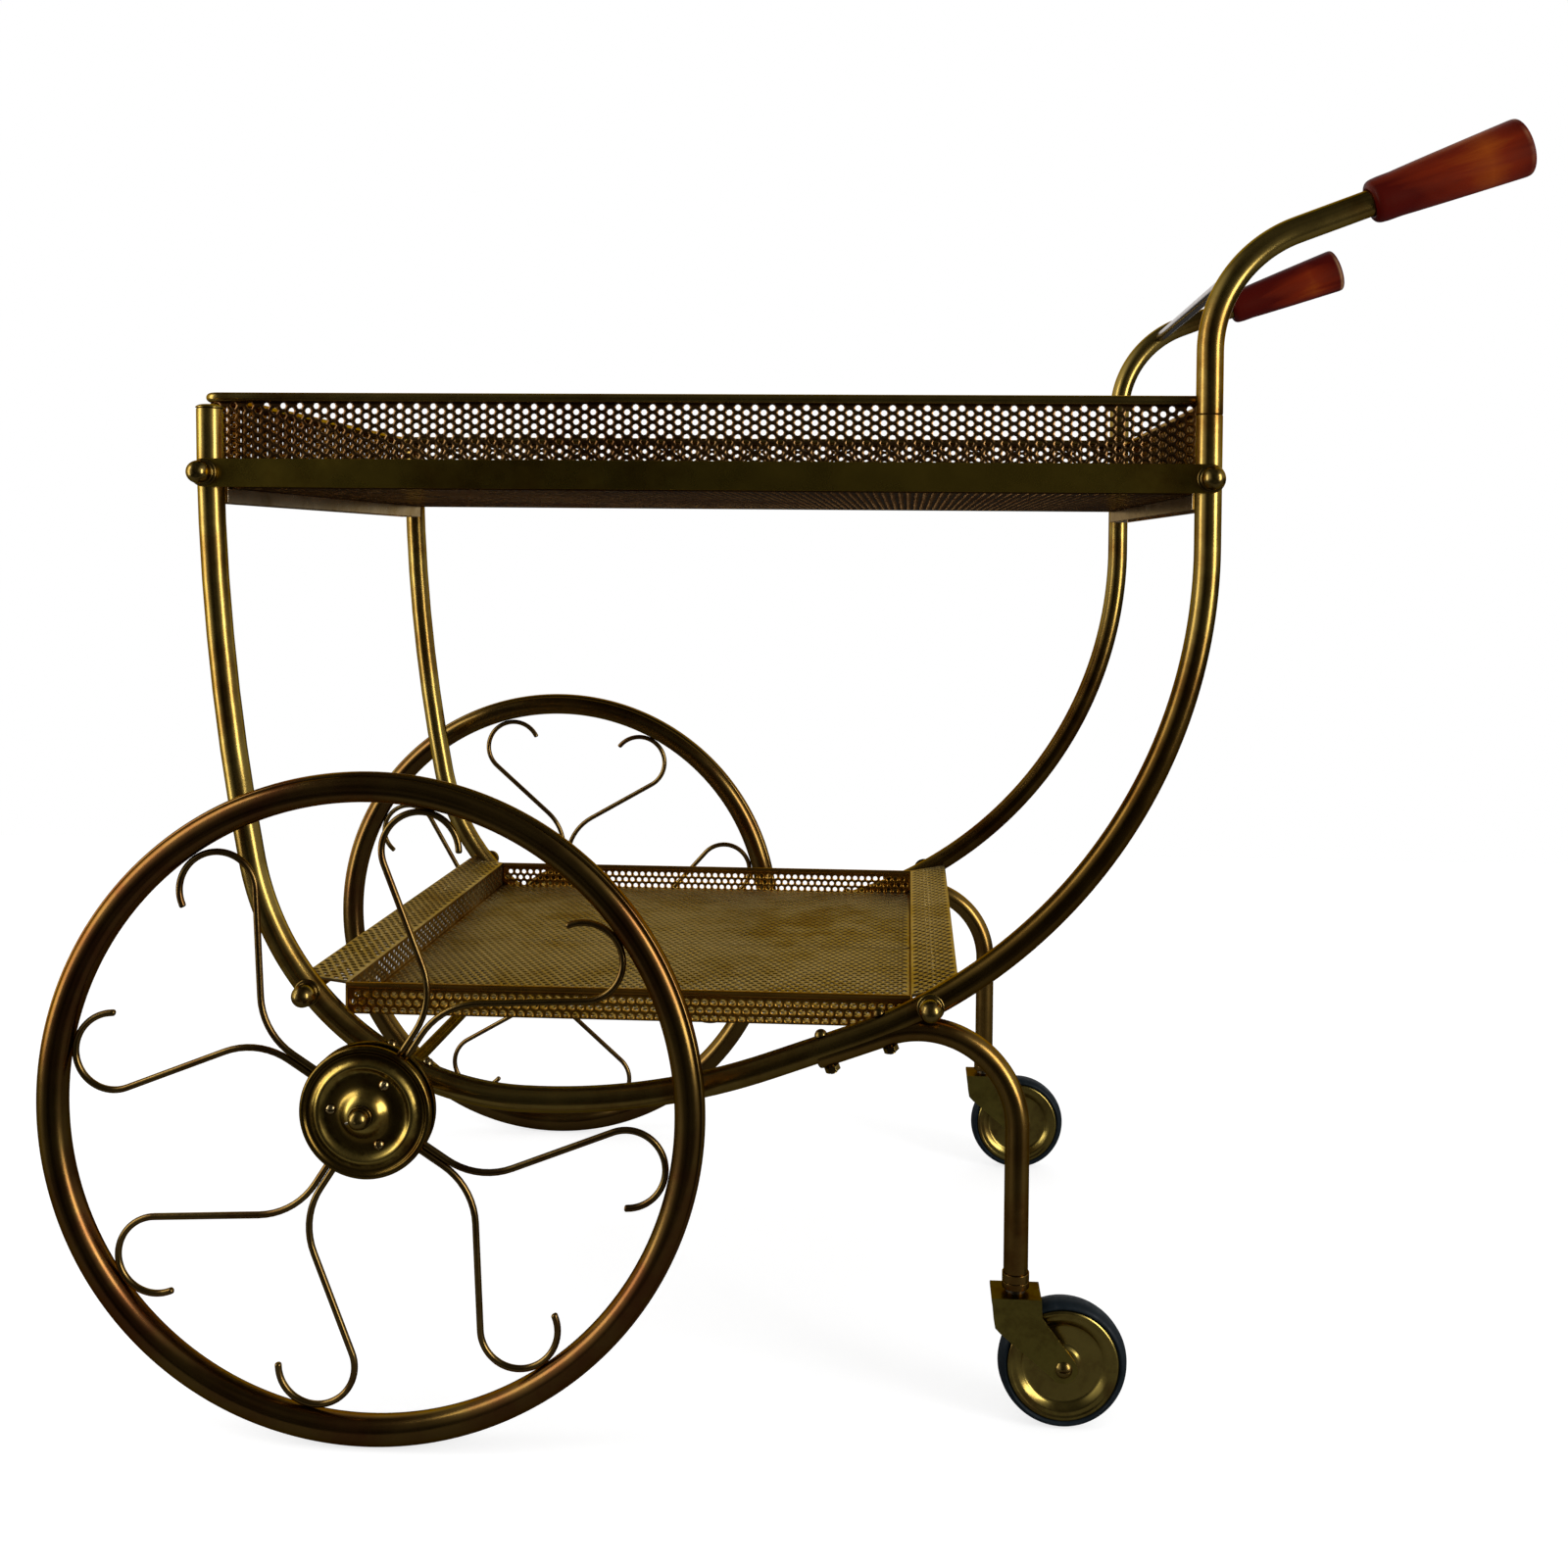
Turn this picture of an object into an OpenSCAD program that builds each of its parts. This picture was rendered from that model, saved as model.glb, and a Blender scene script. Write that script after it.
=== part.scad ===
// Serving trolley: two side frames of bent tube, two perforated trays, two big wheels and two casters.
// Millimetres, +Z up, +X towards the handles, origin on the floor under the middle of the whole trolley.

/* [Side frame] */
// Outer diameter of the frame and handle tubes
tube_d = 16; // [14:0.5:20]
// Wall of every tube
tube_wall = 1.5; // [1:0.1:2]
// Distance between the two side frames, tube centre to tube centre
frame_w = 400; // [340:5:460]
// Length of a side frame, from the left leg's top to the right upright
frame_len = 612; // [590:1:640]
// Height of the open top of the left leg
leg_top = 616; // [600:1:640]
// Radius of the left leg, which is nearly straight
shin_r = 1466; // [1200:1:1800]
// Angle that the left leg turns through
shin_a = 11; // [8:0.5:13]
// Radius of the heel bend
heel_r = 180; // [170:1:195]
// Slope, still downwards, at which the heel passes into the sole
heel_rest = 1.7; // [0.5:0.1:3]
// Radius of the flat sole
sole_r = 413; // [380:1:440]
// Slope at which the sole ends
sole_a = 20; // [16:0.5:22]
// Radius of the sweep up to the handle
sweep_r = 321; // [300:1:330]
// Height of the seam between frame and handle tube
seam_z = 614.5; // [600:0.5:640]
// Height of the cap on a leg top
cap_h = 2.6; // [1:0.1:5]

/* [Handle] */
// Length of upright tube above the seam
neck = 38; // [20:1:60]
// Radius of the handle bend
handle_r = 77; // [60:1:95]
// Slope of the handle
handle_a = 20.4; // [10:0.2:35]
// Bare tube between the bend and the grip
handle_bare = 45; // [25:1:70]
// Length of the wooden grip
grip_len = 94; // [85:1:120]
// Diameter of the grip's small end
grip_small = 26; // [22:0.5:30]
// Diameter of the grip's big end
grip_big = 35; // [31:0.5:40]
// Diameter of the cross rod between the handles
crossbar_d = 8; // [6:0.5:10]
// Diameter of the cross rod's ends inside the tubes
crossbar_pin = 4; // [3:0.5:5]
// Place of the cross rod round the handle bend
crossbar_a = 55; // [35:1:65]
// Length of the spigot inside the seam
spigot_len = 60; // [40:1:80]

/* [Upper tray carrier] */
// Height of the upper bolts
bolt_z = 576; // [560:0.5:590]
// Depth of the side band
band_h = 17.5; // [14:0.5:24]
// Thickness of the side band
band_t = 1.2; // [1:0.1:2]
// Width of an end channel
channel_w = 16; // [14:0.5:20]
// Depth of an end channel
channel_h = 9; // [7:0.5:12]
// Sheet of the end channel
channel_t = 1.4; // [1:0.1:1.6]
// Shank of the upper bolts
bolt_d = 5; // [4:0.5:6]
// Diameter of the ball nuts
ball_d = 14; // [12:0.5:18]
// Diameter of the washer under a ball nut
washer_d = 17; // [15:0.5:19]

/* [Upper tray] */
// Sheet of both trays
sheet_t = 1; // [0.8:0.1:1.2]
// How far the tray reaches past the tube centres at each end
tray_over = 8; // [2:0.5:9]
// Height of the tray wall up to its rim
tray_wall_h = 54; // [40:1:60]
// Diameter of the rolled rim
rim_wire = 6; // [4:0.5:6]
// Openings along a tray, which stand for its fine round holes
mesh_x = 12; // [8:2:12]
// Openings across a tray
mesh_y = 8; // [6:2:8]
// Rows of openings up the upper tray's wall
mesh_rows = 2; // [1:1:3]
// Share of an opening's pitch that is open
mesh_open = 0.6; // [0.4:0.05:0.7]
// Corner radius of the tray in plan
tray_corner = 8; // [5:0.5:20]

/* [Lower tray] */
// Height of the lower cross rods
rod_z = 255.6; // [245:0.2:265]
// Diameter of the lower cross rods
rod_d = 5.5; // [5:0.5:7]
// Inner left wall of the lower tray, from the left tube centre
low_left = 82; // [78:0.5:90]
// Inner right wall of the lower tray, from the left tube centre
low_right = 438.5; // [430:0.5:442]
// Depth of the lower tray
low_h = 20; // [15:1:26]
// Width of a hooked flange
flange_w = 29; // [24:0.5:32]
// Rise of the right flange per millimetre of its width
right_slope = 0.2; // [0.1:0.01:0.25]
// Lip that hangs down from a flange
lip_h = 17; // [10:1:20]

/* [Big wheels] */
// Axle centre, from the left tube centre
wheel_x = 118.5; // [116:0.5:120]
// Radius of a big wheel over its rim
wheel_r = 199.8; // [199:0.1:200.4]
// How far a big wheel's middle stands outside its side frame's middle
wheel_out = 51; // [48:1:62]
// Section of the rolled rim
rim_d = 18; // [14:0.5:22]
// Depth of the seam groove in the rim
rim_groove = 0.9; // [0.5:0.1:1.5]
// Diameter of the spoke rods
spoke_d = 4; // [3:0.5:5]
// Number of heart-shaped spoke pairs
pairs = 4; // [3:1:5]
// Where a spoke leaves the pair's axis
spoke_bend_x = 55; // [50:1:60]
// Radius of a spoke's first bend
spoke_bend_r = 43; // [36:1:50]
// Radius of a spoke's curl
curl_r = 23; // [18:0.5:24]
// Angle between the pair's axis and the curl's centre
curl_a = 21.7; // [19:0.1:24]
// How far a curl turns
curl_turn = 204; // [170:1:230]
// Turn of the near wheel at rest
near_turn = 147; // [0:1:180]
// Turn of the far wheel at rest
far_turn = 84; // [0:1:180]
// Radius of the pressed hub discs
hub_r = 39.5; // [36:0.5:42]
// Sheet of the hub discs
hub_t = 1.2; // [0.8:0.1:1.5]
// Circle of the hub screws
hub_screw_r = 20.3; // [19:0.1:22]
// Diameter of the axle's journals, which sink a little into the tubes' underside
axle_d = 6.6; // [6:0.1:7]
// Diameter of the axle between the side frames
axle_mid_d = 8; // [7:0.1:9]
// Outer diameter of the wheel bush
bush_d = 13; // [11:0.5:15]
// Length of the wheel bush
bush_len = 26; // [24:1:32]

/* [Casters] */
// Leg centre, from the left tube centre
caster_x = 502.7; // [495:0.5:510]
// Diameter of the leg tube
leg_d = 15; // [14:0.5:16]
// Radius of the leg's bend
leg_r = 60; // [50:1:66]
// How far below the frame tube's centre line the leg's tail lies
leg_nest = 4; // [3:0.5:5]
// Length of the leg's tail under the frame tube
leg_tail = 45; // [42:0.5:50]
// Distance between the two leg bolts
leg_bolt_gap = 38; // [34:0.5:39]
// Shank of the leg bolts
leg_bolt_d = 4.4; // [3.5:0.1:5]
// Height of a leg's lower end
leg_foot = 88; // [86:0.5:92]
// Radius of a caster wheel
caster_r = 39.2; // [36:0.2:42]
// Width of a caster tyre
tyre_w = 16; // [12:0.5:17]
// Height of the fork's top
fork_top = 81.3; // [80:0.1:83]
// Width of the fork across its plates
fork_w = 24; // [22:0.5:28]
// Length of the fork's top along the trolley
fork_len = 30; // [26:0.5:32]
// Plate of the fork
fork_t = 2; // [1.5:0.1:2.4]
// Distance from the swivel line to the caster axle
trail = 28.7; // [26:0.1:31]
// Caster axle bolt
caster_bolt_d = 6; // [5:0.5:7]
// Swivel stem
stem_d = 8; // [6:0.5:9]
// Length of the swivel stem inside the leg
stem_len = 34; // [25:1:45]

/* [Hidden] */
$fn = 72;

near = -1;
far = 1;

// Clearance of a piece that is fixed in its hole or tube
seat = 0.1;
// Clearance of a running fit, on the radius
run_fit = 0.05;
// Gap between pieces that part or move past each other
clear = 0.3;
// How far a cutting tool reaches past what it cuts
past = 1;

// How far the steps of a bent bar lap, and by how much their diameters differ
lap = 1;
hair = 0.06;
// Facets of a full turn that keep a bend of radius r round
function bend_facets(r) = max(72, 4 * ceil(2.5 * sqrt(r)));
// The same steps, reaching past both ends
function longer(steps) = concat([[2 * past, 0]], steps, [[2 * past, 0]]);

brass = [0.52, 0.42, 0.16];
dark_brass = [0.32, 0.25, 0.11];
wood = [0.45, 0.14, 0.06];
rubber = [0.10, 0.11, 0.13];
steel = [0.55, 0.52, 0.46];

tube_r = tube_d / 2;
frame_y = frame_w / 2;
wheel_y = frame_y + wheel_out;

// Centres of the heel's and the sole's bend
heel_x = shin_r * (1 - cos(shin_a)) + heel_r * cos(shin_a);
heel_z = leg_top - (shin_r - heel_r) * sin(shin_a);
low_x = heel_x + (sole_r - heel_r) * sin(heel_rest);
low_z = heel_z + (sole_r - heel_r) * cos(heel_rest);
// End of the sole and start of the straight run
sole_x = low_x + sole_r * sin(sole_a);
sole_z = low_z - sole_r * cos(sole_a);
run_len = (frame_len - sweep_r * (1 - sin(sole_a)) - sole_x) / cos(sole_a);
sweep_x = frame_len - sweep_r;
sweep_z = sole_z + run_len * sin(sole_a) + sweep_r * cos(sole_a);
frame_path = [
  [shin_r, shin_a], [heel_r, 90 - shin_a - heel_rest], [sole_r, sole_a + heel_rest], [run_len, 0],
  [sweep_r, 90 - sole_a],
  [seam_z - sweep_z, 0]
];

// Handle bend and grip
bend_x = frame_len + handle_r;
bend_z = seam_z + neck;
bend_end_x = bend_x - handle_r * sin(handle_a);
bend_end_z = bend_z + handle_r * cos(handle_a);
grip_x = bend_end_x + handle_bare * cos(handle_a);
grip_z = bend_end_z + handle_bare * sin(handle_a);
grip_wood_end = 4;
handle_path = [[neck, 0], [handle_r, handle_a - 90], [handle_bare + grip_len - grip_wood_end - seat, 0]];
crossbar_x = bend_x - handle_r * cos(crossbar_a);
crossbar_z = bend_z + handle_r * sin(crossbar_a);
grip_round = 2;
// Plain border beside the openings of a tray
mesh_edge = 3;

// Carrier of the upper tray
band_z = bolt_z - band_h / 2;
tab_y = frame_y - tube_r - clear / 3;
bolt_head_t = 1.2;
tray_y = tab_y - channel_t - bolt_head_t - clear;
channel_z = band_z - clear - channel_h;
tray_z = channel_z + channel_h + clear;
rim_z = tray_z + tray_wall_h + rim_wire / 2;
wall_y = tray_y - sheet_t;
band_y = frame_y + tube_r;
washer_t = 1.2;
collar_t = 1;
collar_d = washer_d - 4;
ball_sink = 4.9;
washer_y = band_y + band_t;
ball_y = washer_y + washer_t + collar_t + ball_sink;
stud_in_ball = 4;

// Lower rods lie on the centre line of the side frames
rod_left_x = heel_x - sqrt(heel_r * heel_r - (heel_z - rod_z) * (heel_z - rod_z));
rod_right_x = sweep_x + sqrt(sweep_r * sweep_r - (sweep_z - rod_z) * (sweep_z - rod_z));
low_y = frame_y - tube_r - 3;
// Each flange lies on its rod: the right one sets the fold's height and the left one's slope follows
flange_on_rod = rod_z + rod_d / 2 + clear + sheet_t;
low_top = flange_on_rod - (rod_right_x - low_right) * right_slope;
left_slope = (flange_on_rod - low_top) / (low_left - rod_left_x);

// Axle and its saddle, seen from the heel's centre
axle_z = wheel_r;
axle_out = sqrt((heel_x - wheel_x) * (heel_x - wheel_x) + (heel_z - axle_z) * (heel_z - axle_z));
axle_dir = atan2(axle_z - heel_z, wheel_x - heel_x);
saddle_len = 38;
saddle_w = 14;
saddle_screw = 12.6;
saddle_screw_d = 3.5;
saddle_head_d = 7;
// The heads lie on the inside of the bend, where the tube falls away from them
saddle_reach = saddle_screw + saddle_head_d / 2;
saddle_head = sqrt(pow(heel_r - tube_r, 2) - saddle_reach * saddle_reach) - 2 * seat;
hub_side = wheel_y - bush_len / 2;
spacer_d = 10.5;
axle_washer_d = 14;
axle_washer_t = 1.2;
axle_end = wheel_y + bush_len / 2 + clear + axle_washer_t;
axle_cap_d = 11.4;
axle_tip = 4;

// Big wheel
rim_r = wheel_r - rim_d / 2;
curl_c = wheel_r - rim_d - spoke_d / 2 - curl_r - seat;
curl_x = curl_c * cos(curl_a);
curl_y = curl_c * sin(curl_a);
spoke_side = spoke_d / 2 + seat / 2;
// Slope of the straight run that touches both bends of a spoke on opposite sides
bend_cy = spoke_side + spoke_bend_r;
bend_gap_x = curl_x - spoke_bend_x;
bend_gap_y = curl_y - bend_cy;
bend_gap = sqrt(bend_gap_x * bend_gap_x + bend_gap_y * bend_gap_y);
spoke_slope = atan2(bend_gap_y, bend_gap_x) + asin((spoke_bend_r + curl_r) / bend_gap);
spoke_run = bend_gap * cos(asin((spoke_bend_r + curl_r) / bend_gap));
disc_gap = spoke_d / 2 + seat / 2;
hub_screw_d = 3;
hub_screws = 3;
spoke_start = hub_screw_r + 0.8 * hub_screw_d;
// Turn of the hub screws as seen from the near side
hub_screw_turn = 5;

// Casters
leg_bend_x = caster_x - leg_r;
leg_bend_z = sole_z + (leg_bend_x - sole_x) * tan(sole_a) - (leg_nest + leg_r) / cos(sole_a);
leg_bolt_head_d = 8;
leg_nut_d = 8.4;
leg_nut_h = 3.5;
ferrule_d = leg_d + 1.6;
ferrule_h = 9;
// How far a ferrule's lower ring hangs below the leg, and the length of its plug
ferrule_drop = 4;
ferrule_plug = 24;
fork_pad = 1.2;
caster_axle_z = caster_r;
caster_axle_x = caster_x + trail;
disc_r = caster_r - 5.4;
fork_end_r = 8.4;
caster_bolt_head = 10.2;

// Everything is drawn from the left tube's centre and then moved to the origin
grip_reach = handle_bare + grip_len;
x_max = bend_end_x + grip_reach * cos(handle_a) + (grip_big / 2 - grip_round) * sin(handle_a)
  - grip_round * cos(handle_a) + grip_round;
x_min = wheel_x - wheel_r;
origin_x = (x_min + x_max) / 2;

module placed() {
  translate([-origin_x, 0, 0]) children();
}

// The side plane at depth y: drawing x runs along the trolley, drawing y runs up
module side_plane(y) {
  translate([0, y, 0]) rotate([90, 0, 0]) children();
}

// A round bar along steps of [length, 0] for a straight or [radius, turn] for a bend.
// Every second step differs in diameter by a hair and laps into its neighbours.
module bar_run(steps, d, step = -hair, end_lap = 0, i = 0) {
  if (i < len(steps)) {
    size = steps[i][0];
    turn = steps[i][1];
    odd = i % 2;
    bar = d + odd * step;
    before = odd * lap;
    after = odd * (i < len(steps) - 1 ? lap : end_lap);
    if (turn == 0) {
      translate([-before, 0, 0]) rotate([0, 90, 0]) cylinder(d = bar, h = size + before + after);
      translate([size, 0, 0]) bar_run(steps, d, step, end_lap, i + 1);
    } else {
      side = sign(turn);
      start = (turn > 0 ? before : after) / size * 180 / PI;
      extra = (before + after) / size * 180 / PI;
      translate([0, side * size, 0]) {
        rotate([0, 0, (turn > 0 ? -90 : 90 + turn) - start])
          rotate_extrude(angle = abs(turn) + extra, $fn = bend_facets(size)) translate([size, 0])
          circle(d = bar, $fn = 72);
        rotate([0, 0, turn]) translate([0, -side * size, 0]) bar_run(steps, d, step, end_lap, i + 1);
      }
    }
  }
}

module tube_run(steps, d) {
  difference() {
    bar_run(steps, d);
    translate([-2 * past, 0, 0]) bar_run(longer(steps), d - 2 * tube_wall, hair);
  }
}

// A rod along Y with its middle at x, z
module cross_rod(x, z, d, from, to) {
  translate([x, from, z]) rotate([-90, 0, 0]) cylinder(d = d, h = to - from);
}

// A low dome on a round base, with a screwdriver slot
module round_head(d, h, slot = true) {
  dome_r = (d * d / 4 + h * h) / (2 * h);
  difference() {
    intersection() {
      translate([0, 0, h - dome_r]) sphere(r = dome_r);
      cylinder(d = d, h = h);
    }
    if (slot) translate([-d, -d / 14, h * 0.55]) cube([2 * d, d / 7, h]);
  }
}

module hex_nut(across, h, bore) {
  difference() {
    cylinder(d = across / cos(30), h = h, $fn = 6);
    translate([0, 0, -past]) cylinder(d = bore, h = h + 2 * past);
  }
}

module frame_start(side) {
  side_plane(side * frame_y) translate([0, leg_top]) rotate(-90) children();
}

// Puts children on a leg bolt's line, with the frame tube above and z = 0 at the leg's centre line
module at_leg_bolt(side, place) {
  side_plane(side * frame_y)
    translate([leg_bend_x - leg_r * sin(sole_a), leg_bend_z + leg_r * cos(sole_a)])
    rotate(sole_a) translate([-place * leg_bolt_gap, 0, 0]) rotate([-90, 0, 0]) children();
}

// Puts children on the line from the heel's centre through the axle, z = 0 at the centre
module at_saddle(side) {
  side_plane(side * frame_y) translate([heel_x, heel_z]) rotate(axle_dir) rotate([0, 90, 0]) children();
}

module saddle_screw_lines(side, d, from, to) {
  at_saddle(side) for (s = [-1, 1])
    translate([0, s * saddle_screw, from]) cylinder(d = d, h = to - from);
}

module side_frame(side) {
  color(brass) placed() difference() {
    frame_start(side) tube_run(frame_path, tube_d);
    for (p = [[0, bolt_z], [frame_len, bolt_z]])
      cross_rod(p[0], p[1], bolt_d + 2 * seat, side * frame_y - tube_d, side * frame_y + tube_d);
    for (x = [rod_left_x, rod_right_x])
      cross_rod(x, rod_z, rod_d + 2 * seat, side * frame_y - tube_d, side * frame_y + tube_d);
    cross_rod(wheel_x, axle_z, axle_d + 2 * seat, side * frame_y - tube_d, side * frame_y + tube_d);
    saddle_screw_lines(side, saddle_screw_d + 2 * seat, heel_r - tube_d, heel_r + tube_d);
    for (place = [0, 1]) at_leg_bolt(side, place)
      translate([0, 0, -tube_d]) cylinder(d = leg_bolt_d + 2 * seat, h = 3 * tube_d);
  }
}

module leg_caps() {
  color(brass) placed() for (side = [near, far]) translate([0, side * frame_y, leg_top]) {
    intersection() {
      cylinder(d = tube_d + 0.8, h = cap_h);
      translate([0, 0, cap_h - 2 * tube_d]) sphere(r = 2 * tube_d);
    }
    translate([0, 0, -9]) cylinder(d = tube_d - 2 * tube_wall - 2 * seat, h = 9 + cap_h / 2);
  }
}

module handle_tube(side) {
  color(brass) placed() difference() {
    side_plane(side * frame_y) translate([frame_len, seam_z]) rotate(90) tube_run(handle_path, tube_d);
    translate([crossbar_x, side * frame_y, crossbar_z]) rotate([side * 90, 0, 0])
      cylinder(d = crossbar_pin + 2 * seat, h = tube_d);
  }
}

module handle_spigots() {
  color(steel) placed() for (side = [near, far])
    translate([frame_len, side * frame_y, seam_z - spigot_len / 2])
      cylinder(d = tube_d - 2 * tube_wall - 2 * seat, h = spigot_len);
}

// Half outline of the grip, from its small end to its big end
function grip_outline() = [
  [0, 0],
  for (a = [0:15:90]) [grip_small / 2 - 4 * (1 - sin(a)), 4 * (1 - cos(a))],
  [(grip_small + grip_big) / 4 + 0.8, grip_len / 2],
  [grip_big / 2 - 0.4, grip_len * 0.8],
  for (a = [0:15:90]) [grip_big / 2 - grip_round * (1 - cos(a)), grip_len - grip_round * (1 - sin(a))],
  [0, grip_len]
];

module grip(side) {
  color(wood) placed() translate([grip_x, side * frame_y, grip_z]) rotate([0, 90 - handle_a, 0])
    difference() {
      rotate_extrude() polygon(grip_outline());
      translate([0, 0, -past]) cylinder(d = tube_d + 2 * seat, h = grip_len - grip_wood_end + past);
    }
}

// The cross rod's thinner ends pass through the inner wall of each handle tube
module handle_crossbar() {
  shoulder = frame_y - tube_r - seat;
  reach = frame_y - tube_r / 2;
  color(steel) placed() {
    cross_rod(crossbar_x, crossbar_z, crossbar_d, -shoulder, shoulder);
    cross_rod(crossbar_x, crossbar_z, crossbar_pin, -reach, reach);
  }
}

module side_band(side) {
  y = side * (band_y + band_t / 2);
  color(brass) placed() difference() {
    union() {
      translate([0, y - band_t / 2, band_z]) cube([frame_len, band_t, band_h]);
      for (x = [0, frame_len]) cross_rod(x, bolt_z, band_h, y - band_t / 2, y + band_t / 2);
    }
    for (x = [0, frame_len])
      cross_rod(x, bolt_z, bolt_d + 2 * seat, y - band_t, y + band_t);
  }
}

// Channel across the trolley with a tab at each end, bolted inside the tubes
module end_channel(x) {
  span = 2 * tab_y;
  color(dark_brass) placed() difference() {
    union() {
      translate([x - channel_w / 2, -tab_y, channel_z]) difference() {
        cube([channel_w, span, channel_h]);
        translate([channel_t, -past, -past])
          cube([channel_w - 2 * channel_t, span + 2 * past, channel_h + past - channel_t]);
      }
      for (s = [-1, 1]) translate([x - channel_w / 2, s > 0 ? tab_y - channel_t : -tab_y, channel_z])
        cube([channel_w, channel_t, band_z + band_h - channel_z]);
    }
    cross_rod(x, bolt_z, bolt_d + 2 * seat, -tab_y - past, tab_y + past);
  }
}

module at_upper_bolts() {
  for (side = [near, far], x = [0, frame_len])
    translate([x, 0, bolt_z]) rotate([-side * 90, 0, 0]) children();
}

module upper_bolts() {
  inside = tab_y - channel_t - bolt_head_t;
  color(steel) placed() at_upper_bolts() translate([0, 0, inside]) {
    cylinder(d = 10, h = bolt_head_t);
    cylinder(d = bolt_d, h = ball_y - ball_sink + stud_in_ball - inside);
  }
}

module stepped_washer(bore) {
  difference() {
    union() {
      cylinder(d = washer_d, h = washer_t);
      cylinder(d = collar_d, h = washer_t + collar_t);
    }
    translate([0, 0, -past]) cylinder(d = bore + 2 * seat, h = 6 * past);
  }
}

module ball_nut(bore) {
  difference() {
    translate([0, 0, ball_sink]) sphere(d = ball_d);
    translate([0, 0, -ball_d]) cylinder(d = 2 * ball_d, h = ball_d);
    translate([0, 0, -past]) cylinder(d = bore + 2 * seat, h = stud_in_ball + seat + past);
  }
}

module upper_washers() {
  color(dark_brass) placed() at_upper_bolts() translate([0, 0, washer_y]) stepped_washer(bolt_d);
}

module upper_ball_nuts() {
  color(brass) placed() at_upper_bolts() translate([0, 0, ball_y - ball_sink]) ball_nut(bolt_d);
}

// Lower rods run through both side frames and take a ball nut at each end
low_washer_y = frame_y + tube_r;
low_ball_y = low_washer_y + washer_t + collar_t;

module at_lower_ends() {
  for (side = [near, far], x = [rod_left_x, rod_right_x])
    translate([x, 0, rod_z]) rotate([-side * 90, 0, 0]) children();
}

module lower_rod(x) {
  reach = low_ball_y + stud_in_ball;
  color(steel) placed() cross_rod(x, rod_z, rod_d, -reach, reach);
}

module lower_washers() {
  color(dark_brass) placed() at_lower_ends() translate([0, 0, low_washer_y]) stepped_washer(rod_d);
}

module lower_ball_nuts() {
  color(brass) placed() at_lower_ends() translate([0, 0, low_ball_y]) ball_nut(rod_d);
}

module axle() {
  reach = axle_end + axle_tip;
  shoulder = frame_y - tube_r - past;
  color(steel) placed() {
    cross_rod(wheel_x, axle_z, axle_d, -reach, reach);
    cross_rod(wheel_x, axle_z, axle_mid_d, -shoulder, shoulder);
  }
}

// Block under each tube, hollowed to fit it, with the axle through it
module axle_saddles() {
  color(dark_brass) placed() for (side = [near, far]) difference() {
    at_saddle(side) translate([-saddle_w / 2, -saddle_len / 2, heel_r + tube_r / 2])
      cube([saddle_w, saddle_len, axle_out - heel_r - tube_r / 2 + axle_d / 2 + 2.5]);
    side_plane(side * frame_y) translate([heel_x, heel_z]) rotate(axle_dir - 15)
      rotate_extrude(angle = 30, $fn = bend_facets(heel_r)) translate([heel_r, 0])
      circle(d = tube_d + 2 * seat, $fn = 72);
    cross_rod(wheel_x, axle_z, axle_d + 2 * seat, side * frame_y - tube_d, side * frame_y + tube_d);
    saddle_screw_lines(side, saddle_screw_d + 2 * seat, heel_r, axle_out + tube_d);
  }
}

module axle_screws() {
  color(steel) placed() for (side = [near, far]) {
    saddle_screw_lines(side, saddle_screw_d, saddle_head, axle_out + axle_d / 2 + 2);
    at_saddle(side) for (s = [-1, 1])
      translate([0, s * saddle_screw, saddle_head]) rotate([180, 0, 0]) round_head(saddle_head_d, 2.6);
  }
}

module axle_spacers() {
  from = frame_y + saddle_w / 2 + clear;
  color(dark_brass) placed() for (side = [near, far])
    translate([wheel_x, side * from, axle_z]) rotate([-side * 90, 0, 0]) difference() {
      cylinder(d = spacer_d, h = hub_side - clear - from);
      translate([0, 0, -past]) cylinder(d = axle_d + 2 * seat, h = hub_side);
    }
}

module axle_washers() {
  color(brass) placed() for (side = [near, far])
    translate([wheel_x, side * (axle_end - axle_washer_t), axle_z]) rotate([-side * 90, 0, 0]) difference() {
      cylinder(d = axle_washer_d, h = axle_washer_t);
      translate([0, 0, -past]) cylinder(d = axle_d + 2 * seat, h = axle_washer_t + 2 * past);
    }
}

// Domed cap pushed over the axle's tip, standing clear of the split pin
pin_wire = 1.6;
module axle_caps() {
  color(brass) placed() for (side = [near, far])
    translate([wheel_x, side * (axle_end + pin_wire + clear), axle_z])
      rotate([-side * 90, 0, 0]) difference() {
      union() {
        cylinder(d = axle_cap_d, h = 1.6);
        translate([0, 0, 1.6]) round_head(axle_cap_d, 3.6, false);
      }
      translate([0, 0, -past]) cylinder(d = axle_d + 2 * seat, h = axle_tip - pin_wire + past);
    }
}

// Split pin: a ring of wire round the axle with its ends turned out at the left
module split_pins() {
  color(steel) placed() for (side = [near, far])
    translate([wheel_x, side * (axle_end + pin_wire / 2), axle_z]) rotate([-side * 90, 0, 0]) {
      ring_r = axle_d / 2 + pin_wire / 2 + seat;
      rotate([0, 0, 200]) rotate_extrude(angle = 320) translate([ring_r, 0]) circle(d = pin_wire);
      rotate([0, 0, 200]) translate([ring_r, 0, 0]) rotate([0, 90, 0]) cylinder(d = pin_wire, h = 4);
    }
}

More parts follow.
